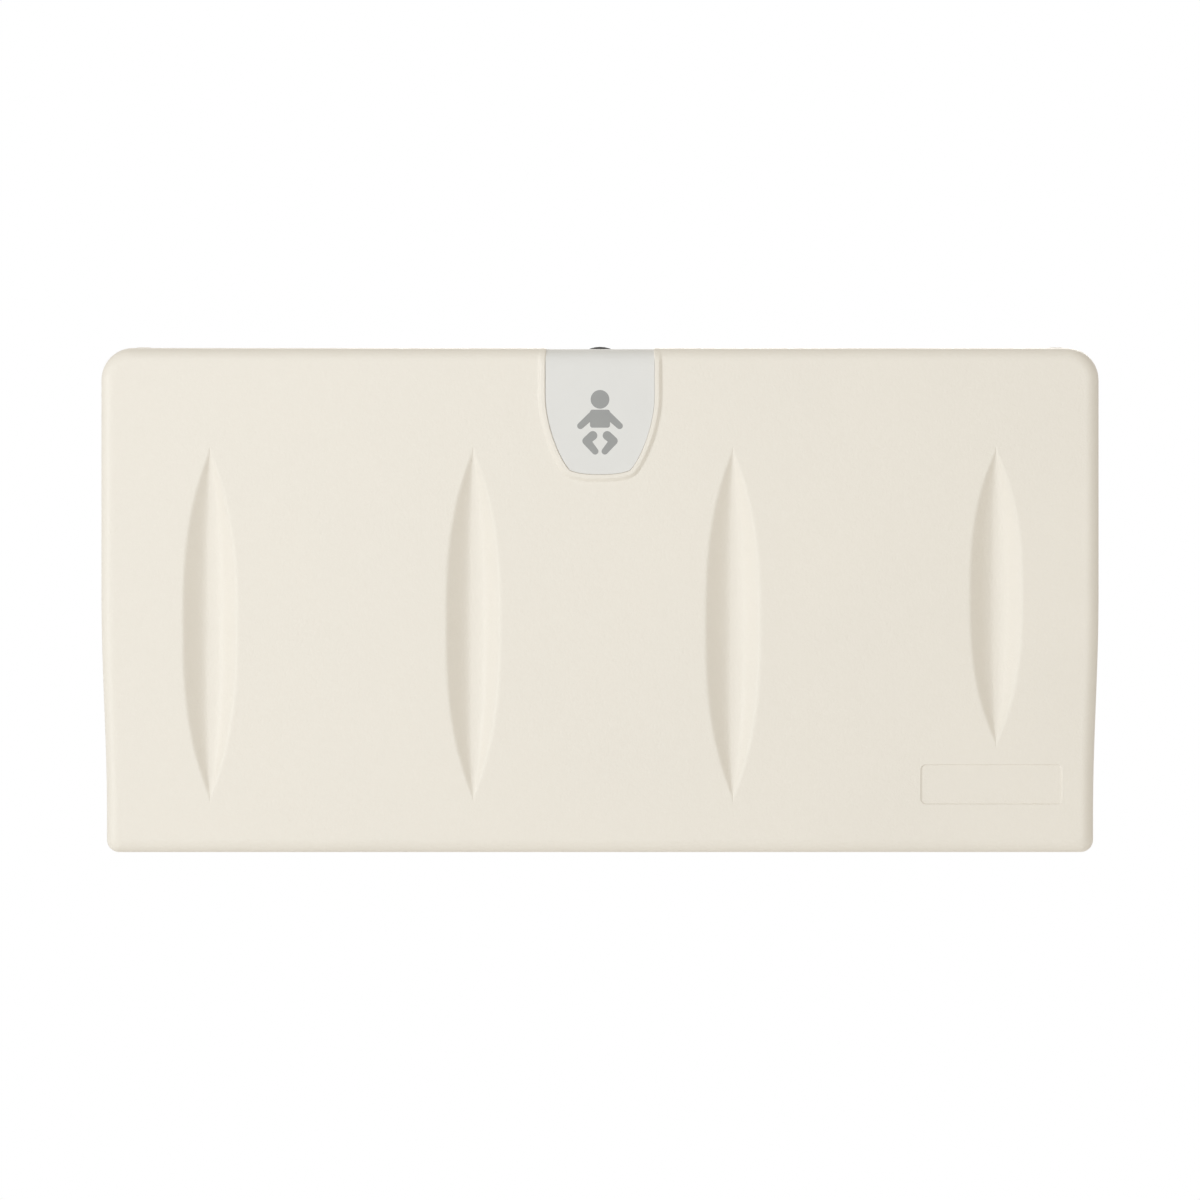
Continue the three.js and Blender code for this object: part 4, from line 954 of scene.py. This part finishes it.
def join(name, *pieces):
    """One object with the meshes of several"""
    bm = bmesh.new()
    for piece in pieces:
        bm.from_mesh(piece.data)
    made = bpy.data.meshes.new(name)
    bm.to_mesh(made)
    bm.free()
    for piece in pieces:
        bpy.data.objects.remove(piece)
    made.shade_smooth()
    return new_object(name, made)


def facing(mesh, direction, near):
    """Turns a mesh over if the face nearest a point looks the other way"""
    face = min(mesh.polygons, key=lambda f: (f.center - Vector(near)).length)
    if face.normal.dot(Vector(direction)) < 0:
        mesh.flip_normals()


class STATION_OT_bed_shell(Operator):
    """Makes the bed's moulded shell with its flutes, bead and sunk field"""

    bl_idname = "station.bed_shell"
    bl_label = "Bed Shell"

    def execute(self, context):
        sizes = context.scene.station_shell
        badge = context.scene.station_badge
        skin_mesh = shell_draft(sizes, badge).mesh("bed_skin")
        facing(skin_mesh, (0, -1, 0), (0, -sizes.front, 0))
        skin = new_object("bed_skin", skin_mesh)
        solidify(skin, sizes.wall)
        settle(skin, 40)
        bead_draft = MeshDraft()
        rings = bead_rings(badge, sizes)
        bead_draft.add_rings(rings)
        for end in (rings[0], rings[-1]):
            bead_draft.add(end, [tuple(range(len(end)))])
        bead = settle(new_object("badge_bead", bead_draft.mesh("badge_bead")), 60)
        heel_draft = MeshDraft()
        reach = panel_half(sizes, -sizes.height / 2) - sizes.wall - 0.1 * MM
        heel_draft.add_bar(heel_outline(sizes), -reach, reach)
        heel = settle(new_object("bed_heel", heel_draft.mesh("bed_heel")), 30)
        piece = settle(join("bed_shell_moulding", skin, bead, heel), 40)
        finish_piece(piece, cream_plastic(), "bed", "cream_plastic", "bed_shell")
        return {"FINISHED"}


# Badge


def capsule(start, end, first, last, steps=14):
    """Outline of a limb with a round end of its own radius at each point"""
    a, b = Vector(start), Vector(end)
    heading = math.degrees(math.atan2(b.y - a.y, b.x - a.x))
    return (
        arc(b.x, b.y, last, heading - 90, heading + 90, steps)
        + arc(a.x, a.y, first, heading + 90, heading + 270, steps)
    )


def figure_outlines():
    """A plain figure of a baby: head, body, two arms and two bent legs"""
    outlines = [arc(0, 178.4, 8.3, 0, 352.5, 47)]
    outlines.append(rounded_rect(-8.9, 8.9, 153.2, 169.2, 2.2))
    for side in (-1, 1):
        outlines.append(capsule((side * 5.6, 165.6), (side * 17.4, 154.8), 3.4, 2.9))
        outlines.append(capsule((side * 6.4, 146.2), (side * 12.0, 141.4), 4.0, 3.7))
        outlines.append(capsule((side * 12.0, 141.4), (side * 4.3, 132.2), 3.7, 2.9))
    return [[(x * MM, z * MM) for x, z in outline] for outline in outlines]


class STATION_OT_badge(Operator):
    """Makes the badge that wraps over the top edge, with its plain figure"""

    bl_idname = "station.badge"
    bl_label = "Badge"

    def execute(self, context):
        sizes = context.scene.station_shell
        badge = context.scene.station_badge
        gap = 0.02 * MM
        profile = badge_half_width(badge, sizes)
        end = badge_run_end(badge, sizes)
        heights = [z for _, z in profile] + [float(z) for z in np.linspace(profile[-1][1], end, 34)[1:]]
        rings = []
        for run in heights:
            half = float(np.interp(run, [z for _, z in profile], [x for x, _ in profile]))
            columns = np.linspace(-max(half - gap, 0.02 * MM), max(half - gap, 0.02 * MM), 15)
            lift = badge.lift + (badge.top_lift - badge.lift) * over_edge(sizes, run)
            rings.append([on_panel(sizes, float(x), run, lift)[0] for x in columns])
        draft = MeshDraft()
        draft.add_rings(rings, closed=False)
        mesh = draft.mesh("badge_label", weld=1e-7)
        facing(mesh, (0, -1, 0), (0, -sizes.front, sizes.height / 2 - badge.drop / 2))
        plate = new_object("badge_label", mesh)
        solidify(plate, badge.thick)
        soften(plate, 0.25 * MM)
        settle(plate, 40)
        finish_piece(plate, badge_label(), "bed", "badge_plastic", "badge_plate")
        outlines = figure_outlines()
        draft = MeshDraft()
        draft.add_plane(
            outlines, lambda x, z: any(inside(x, z, outline) for outline in outlines),
            -sizes.front - badge.lift - 0.06 * MM,
        )
        mesh = draft.mesh("badge_figure", weld=1e-7)
        facing(mesh, (0, -1, 0), (0, -sizes.front, sizes.height / 2 - badge.drop / 2))
        figure = new_object("badge_figure", mesh)
        solidify(figure, 0.05 * MM)
        settle(figure, 30)
        finish_piece(figure, figure_print(), "bed", "badge_plastic")
        return {"FINISHED"}


# Bed tray


def pan_outline(tray, inset, steps=14):
    corner = max(tray.corner - inset * 0.6, 1 * MM)
    half = tray.half - inset
    return mirrored(
        arc(half - corner, tray.foot + inset + corner, corner, -90, 0, steps)
        + arc(half - corner, tray.top - inset - corner, corner, 0, 90, steps)
    )


def tray_edge(sizes, gap):
    """Outline of the tray's sheet inside the shell, straight along the heel's shelf"""
    foot = sizes.heel_top + gap
    right = [(panel_half(sizes, foot) - gap, foot)]
    for x, z in panel_outline(sizes, gap):
        if z > foot + 2 * MM and x > 0:
            right.append((x, z))
    return mirrored(right)


class STATION_OT_bed_tray(Operator):
    """Makes the tray with the pan that the child lies in"""

    bl_idname = "station.bed_tray"
    bl_label = "Bed Tray"

    def execute(self, context):
        sizes = context.scene.station_shell
        tray = context.scene.station_tray
        draft = MeshDraft()
        fall = interpolate_bezier(
            (0, 0, 0), (tray.run * 0.16, tray.depth * 0.72, 0),
            (tray.run * 0.4, tray.depth, 0), (tray.run, tray.depth, 0), 30,
        )
        lip = [(-tray.lip * (1 - i / 5), tray.lip * 0.5 * (i / 5) ** 2) for i in range(5)]
        profile = [(-tray.lip - 0.8 * MM, 0)] + lip
        for point in fall[1:]:
            profile.append((point[0], max(point[1], tray.lip * 0.5)))
        profile.append((tray.run + 0.8 * MM, tray.depth))
        rings = [
            [(x, -sizes.back - sunk, z) for x, z in pan_outline(tray, inset)] for inset, sunk in profile
        ]
        draft.add_rings(rings)
        draft.add(rings[-1], [tuple(range(len(rings[-1])))])
        mouth = pan_outline(tray, profile[0][0])
        edge = tray_edge(sizes, sizes.wall + 0.3 * MM)
        draft.add_plane([edge, mouth], lambda x, z: not inside(x, z, mouth), -sizes.back)
        mesh = draft.mesh("bed_tray_pan")
        facing(mesh, (0, 1, 0), (0, -sizes.back - tray.depth, 0))
        piece = new_object("bed_tray_pan", mesh)
        solidify(piece, tray.sheet)
        settle(piece, 35)
        finish_piece(piece, cream_plastic(), "bed", "cream_plastic", "bed_tray")
        return {"FINISHED"}


# Wall unit


class STATION_OT_wall_housing(Operator):
    """Finishes the housing on the wall and its rubber bumper"""

    bl_idname = "station.wall_housing"
    bl_label = "Wall Housing"

    def execute(self, context):
        dressed("wall_housing", cream_plastic(), 1.2 * MM, 3)
        dressed("top_bumper", dark_rubber(), 1.5 * MM, 3)
        return {"FINISHED"}


class STATION_OT_hinge(Operator):
    """Finishes the hinge's leaves, pin and clips"""

    bl_idname = "station.hinge"
    bl_label = "Hinge"

    def execute(self, context):
        for node in ("hinge_leaf_wall", "hinge_leaf_bed", "hinge_pin", "pin_clip_left", "pin_clip_right"):
            dressed(node, hinge_steel(), 0.35 * MM)
        return {"FINISHED"}


class STATION_OT_gas_spring(Operator):
    """Finishes the gas spring in the rim and the arm that works it"""

    bl_idname = "station.gas_spring"
    bl_label = "Gas Spring"

    def execute(self, context):
        dressed("gas_cylinder", black_plastic(), 0.8 * MM, 3)
        for node in ("gas_rod", "gas_rod_pin", "gas_spring_bracket", "gas_spring_pin", "lift_arm"):
            dressed(node, strip_steel(), 0.4 * MM)
        return {"FINISHED"}


class STATION_OT_wall_fixing(Operator):
    """Finishes the steel straps on the studs and the caps over their screws"""

    bl_idname = "station.wall_fixing"
    bl_label = "Wall Fixing"

    def execute(self, context):
        for side in ("left", "right"):
            dressed("mounting_strap_" + side, strip_steel(), 0.4 * MM)
        for number in range(1, 5):
            dressed(f"screw_cap_{number}", trim_plastic(), 0.4 * MM)
        return {"FINISHED"}


class STATION_OT_inside_fittings(Operator):
    """Finishes the liner boxes, their lids and the bag hooks"""

    bl_idname = "station.inside_fittings"
    bl_label = "Liner Boxes and Hooks"

    def execute(self, context):
        for side in ("left", "right"):
            dressed("liner_box_" + side, trim_plastic(), 0.7 * MM, 3)
            dressed("liner_lid_" + side, trim_plastic(), 0.5 * MM, 3)
            dressed("bag_hook_" + side, trim_plastic(), 1.5 * MM, 3)
        return {"FINISHED"}


def web_section(strap, steps=6):
    """Points round the webbing's flat section: across it and off its middle"""
    half, edge = strap.width / 2, strap.thick / 2
    across = [float(x) for x in np.linspace(-half + edge, half - edge, 20)]
    front = [(x, edge) for x in across]
    right = arc(half - edge, 0, edge, 90, -90, steps)[1:-1]
    back = [(x, -edge) for x in reversed(across)]
    left = arc(-half + edge, 0, edge, 270, 90, steps)[1:-1]
    return front + right + back + left


def web_height(strap, z, anchor_end, buckle_end):
    """Height of the webbing's middle over the wall's plane, from the pan up into the buckle"""
    share = (z - anchor_end) / (buckle_end - anchor_end)
    return strap.lying + (strap.buckle - strap.lying) * smoothstep(share, 0.3, 1)


def webbing_piece(name, strap, anchor_end, buckle_end):
    draft = MeshDraft()
    section = web_section(strap)
    rings = []
    for z in np.linspace(anchor_end, buckle_end, 64):
        middle = web_height(strap, z, anchor_end, buckle_end)
        rings.append([(x, middle + off, float(z)) for x, off in section])
    draft.add_rings(rings)
    last = len(section) * (len(rings) - 1)
    caps = [tuple(range(len(section))), tuple(range(last, last + len(section)))]
    draft.add([p for ring in rings for p in ring], caps)
    return settle(new_object(name, draft.mesh(name)), 50)


class STATION_OT_safety_strap(Operator):
    """Makes the webbing with its sewn ends, and finishes its anchors and buckle"""

    bl_idname = "station.safety_strap"
    bl_label = "Safety Strap"

    def execute(self, context):
        strap = context.scene.station_strap
        for node in ("strap_anchor_upper", "strap_anchor_lower", "buckle_socket", "buckle_tongue"):
            dressed(node, black_plastic(), 0.7 * MM, 3)
        for node in ("strap_upper", "strap_lower"):
            low, high = (corner[2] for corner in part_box(node))
            upper = node == "strap_upper"
            anchor_end, buckle_end = (high, low) if upper else (low, high)
            web = webbing_piece(node + "_web", strap, anchor_end, buckle_end)
            finish_piece(web, strap_webbing(), "bed", "webbing", node)
            sewn = buckle_end + (1 if upper else -1) * strap.sewn_from
            stitches = stitch_rows(node + "_stitches", web, strap, sewn)
            finish_piece(stitches, stitch_thread(), "bed", "webbing")
            if upper:
                for piece in (web, stitches):
                    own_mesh(piece)
        return {"FINISHED"}


# Screws


def screw_runs():
    """Runs of screw heads on each body: start, step, count, turn about X in degrees and radius"""
    leaf_start, leaf_step, leaf_count = -360 * MM, 80 * MM, 10
    runs = {"wall_unit": [], "bed": []}
    wall_low, wall_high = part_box("hinge_leaf_wall")
    under = wall_high[2] - 2.6 * MM
    runs["wall_unit"].append(
        ((leaf_start, wall_high[1] - 6.5 * MM, under), (leaf_step, 0, 0), leaf_count, 180, 3.6 * MM)
    )
    for side in ("left", "right"):
        low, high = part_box("bag_hook_" + side)
        middle = (low[0] + high[0]) / 2
        runs["wall_unit"].append(
            ((middle, high[1] - 6 * MM, high[2] - 10 * MM), (0, 0, -24 * MM), 2, 90, 4 * MM)
        )
    bed_low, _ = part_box("hinge_leaf_bed")
    runs["bed"].append(
        ((leaf_start, bed_low[1] + 2.6 * MM, bed_low[2] + 6.5 * MM), (leaf_step, 0, 0), leaf_count, -90, 3.6 * MM)
    )
    for end in ("upper", "lower"):
        low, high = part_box("strap_anchor_" + end)
        reach = 26 * MM
        runs["bed"].append(
            ((-reach, high[1], (low[2] + high[2]) / 2), (2 * reach, 0, 0), 2, -90, 3.6 * MM)
        )
    return runs


class STATION_OT_screws(Operator):
    """Makes the screw heads on the hinge's leaves, the hooks and the anchors"""

    bl_idname = "station.screws"
    bl_label = "Screws"

    def execute(self, context):
        head = button_screw()
        for body, runs in screw_runs().items():
            lines = []
            for start, step, count, turn, radius in runs:
                lines.append(grown_piece(f"{body}_screw_run", screw_tree(), {
                    "Screw": head, "Count": count, "Start": start, "Step": step,
                    "Turn": (math.radians(turn), 0, 0), "Radius": radius, "Finish": hinge_steel(),
                }))
            piece = settle(join(f"{body}_screws", *lines), 40)
            finish_piece(piece, hinge_steel(), body, "steel")
        bpy.data.objects.remove(head)
        return {"FINISHED"}


# Stage


def area_lamp(name, place, aim, size, power, tint=(1, 1, 1)):
    data = bpy.data.lights.new(name, "AREA")
    data.color = tint
    data.shape = "RECTANGLE"
    data.size, data.size_y = size
    data.energy = power
    lamp = bpy.data.objects.new(name, data)
    lamp.location = place
    lamp.rotation_euler = (Vector(aim) - Vector(place)).to_track_quat("-Z", "Y").to_euler()
    bpy.context.scene.collection.objects.link(lamp)
    return lamp


def white_world(ambient, tint):
    """White to the camera and in reflections, and a plain level of light for the rest"""
    world = bpy.data.worlds.new("white_room")
    bpy.context.scene.world = world
    world.use_nodes = True
    tree = world.node_tree
    light = tree.nodes["Background"]
    light.inputs["Color"].default_value = (*tint, 1)
    light.inputs["Strength"].default_value = ambient
    white = tree.nodes.new("ShaderNodeBackground")
    white.inputs["Color"].default_value = (1, 1, 1, 1)
    white.inputs["Strength"].default_value = 1.0
    path = tree.nodes.new("ShaderNodeLightPath")
    mirror = math_node(tree, "MAXIMUM", path.outputs["Is Glossy Ray"], path.outputs["Is Transmission Ray"])
    seen = math_node(tree, "MAXIMUM", path.outputs["Is Camera Ray"], mirror)
    mix = tree.nodes.new("ShaderNodeMixShader")
    tree.links.new(seen, mix.inputs["Fac"])
    tree.links.new(light.outputs[0], mix.inputs[1])
    tree.links.new(white.outputs[0], mix.inputs[2])
    tree.links.new(mix.outputs[0], tree.nodes["World Output"].inputs["Surface"])


def pale_floor():
    """Pale from above and clear from below, so that the part shows from every side"""
    made = bpy.data.materials.new("pale_floor")
    made.use_nodes = True
    tree = made.node_tree
    shader = tree.nodes["Principled BSDF"]
    shader.inputs["Roughness"].default_value = 0.9
    place = tree.nodes.new("ShaderNodeTexCoord").outputs["Object"]
    cloud = noise_node(tree, place, 3.0)
    tint = tree.nodes.new("ShaderNodeMix")
    tint.data_type = "RGBA"
    tint.inputs["A"].default_value = (0.9, 0.9, 0.9, 1)
    tint.inputs["B"].default_value = (0.94, 0.94, 0.94, 1)
    tree.links.new(cloud, tint.inputs["Factor"])
    tree.links.new(tint.outputs["Result"], shader.inputs["Base Color"])
    glow = tree.nodes.new("ShaderNodeEmission")
    seen = tree.nodes.new("ShaderNodeLightPath").outputs["Is Camera Ray"]
    pale = tree.nodes.new("ShaderNodeMixShader")
    tree.links.new(math_node(tree, "MULTIPLY", seen, 0.4), pale.inputs["Fac"])
    tree.links.new(shader.outputs[0], pale.inputs[1])
    tree.links.new(glow.outputs[0], pale.inputs[2])
    clear = tree.nodes.new("ShaderNodeBsdfTransparent")
    one_sided = tree.nodes.new("ShaderNodeMixShader")
    tree.links.new(tree.nodes.new("ShaderNodeNewGeometry").outputs["Backfacing"], one_sided.inputs["Fac"])
    tree.links.new(pale.outputs[0], one_sided.inputs[1])
    tree.links.new(clear.outputs[0], one_sided.inputs[2])
    tree.links.new(one_sided.outputs[0], tree.nodes["Material Output"].inputs["Surface"])
    return made


class STATION_OT_stage(Operator):
    """Sets the floor, lamps, world and camera"""

    bl_idname = "station.stage"
    bl_label = "Stage"

    def execute(self, context):
        scene = context.scene
        setup = scene.station_stage
        scene.view_settings.view_transform = "Standard"
        white_world(setup.ambient, setup.room_tint)
        face = -scene.station_shell.front
        area_lamp("key", (-4.75, face - 2.95, 0.7), (0, face, 0), (0.7, 0.9), setup.key_power, setup.lamp_tint)
        area_lamp("back", (0.6, 3.4, 1.9), (0, 0, 0), (2.4, 1.8), setup.back_power)
        area_lamp("fill", (-0.9, face - 5.1, 0.6), (0, face, 0), (2.0, 5.0), setup.fill_power, setup.lamp_tint)
        draft = MeshDraft()
        wide, near, far, z = 2.2, -3.0, 1.2, setup.floor_drop
        draft.add([(-wide, near, z), (wide, near, z), (wide, far, z), (-wide, far, z)], [(0, 1, 2, 3)])
        floor = new_object("floor", draft.mesh("floor"))
        floor.data.materials.append(pale_floor())
        data = bpy.data.cameras.new("camera")
        data.sensor_width = 36
        data.lens = data.sensor_width * setup.distance / setup.frame_width
        data.clip_end = 50
        camera = bpy.data.objects.new("camera", data)
        camera.location = (0, face - setup.distance, 0)
        camera.rotation_euler = (math.pi / 2, 0, 0)
        scene.collection.objects.link(camera)
        scene.camera = camera
        return {"FINISHED"}


class STATION_PT_panel(Panel):
    """Lists the steps that make the station"""

    bl_idname = "STATION_PT_panel"
    bl_label = "Changing Station"
    bl_space_type = "VIEW_3D"
    bl_region_type = "UI"
    bl_category = "Station"

    def draw(self, context):
        for step in STEPS:
            self.layout.operator(step.bl_idname, text=step.bl_label)
        for name in PROPERTY_GROUPS:
            group = getattr(context.scene, name)
            box = self.layout.box()
            for key in group.bl_rna.properties.keys():
                if key not in {"rna_type", "name"}:
                    box.prop(group, key)


PROPERTY_GROUPS = {
    "station_shell": ShellSizes,
    "station_badge": BadgeSizes,
    "station_tray": TraySizes,
    "station_strap": StrapSizes,
    "station_colours": FinishColours,
    "station_stage": StageSetup,
}
STEPS = (
    STATION_OT_bed_shell,
    STATION_OT_badge,
    STATION_OT_bed_tray,
    STATION_OT_wall_housing,
    STATION_OT_hinge,
    STATION_OT_gas_spring,
    STATION_OT_wall_fixing,
    STATION_OT_inside_fittings,
    STATION_OT_safety_strap,
    STATION_OT_screws,
    STATION_OT_stage,
)
CLASSES = (*PROPERTY_GROUPS.values(), *STEPS, STATION_PT_panel)


def register():
    for cls in CLASSES:
        bpy.utils.register_class(cls)
    for name, group in PROPERTY_GROUPS.items():
        setattr(bpy.types.Scene, name, PointerProperty(type=group))


def unregister():
    for name in PROPERTY_GROUPS:
        delattr(bpy.types.Scene, name)
    for cls in reversed(CLASSES):
        bpy.utils.unregister_class(cls)


def main():
    register()
    for step in STEPS:
        family, action = step.bl_idname.split(".")
        getattr(getattr(bpy.ops, family), action)()


if __name__ == "__main__":
    main()
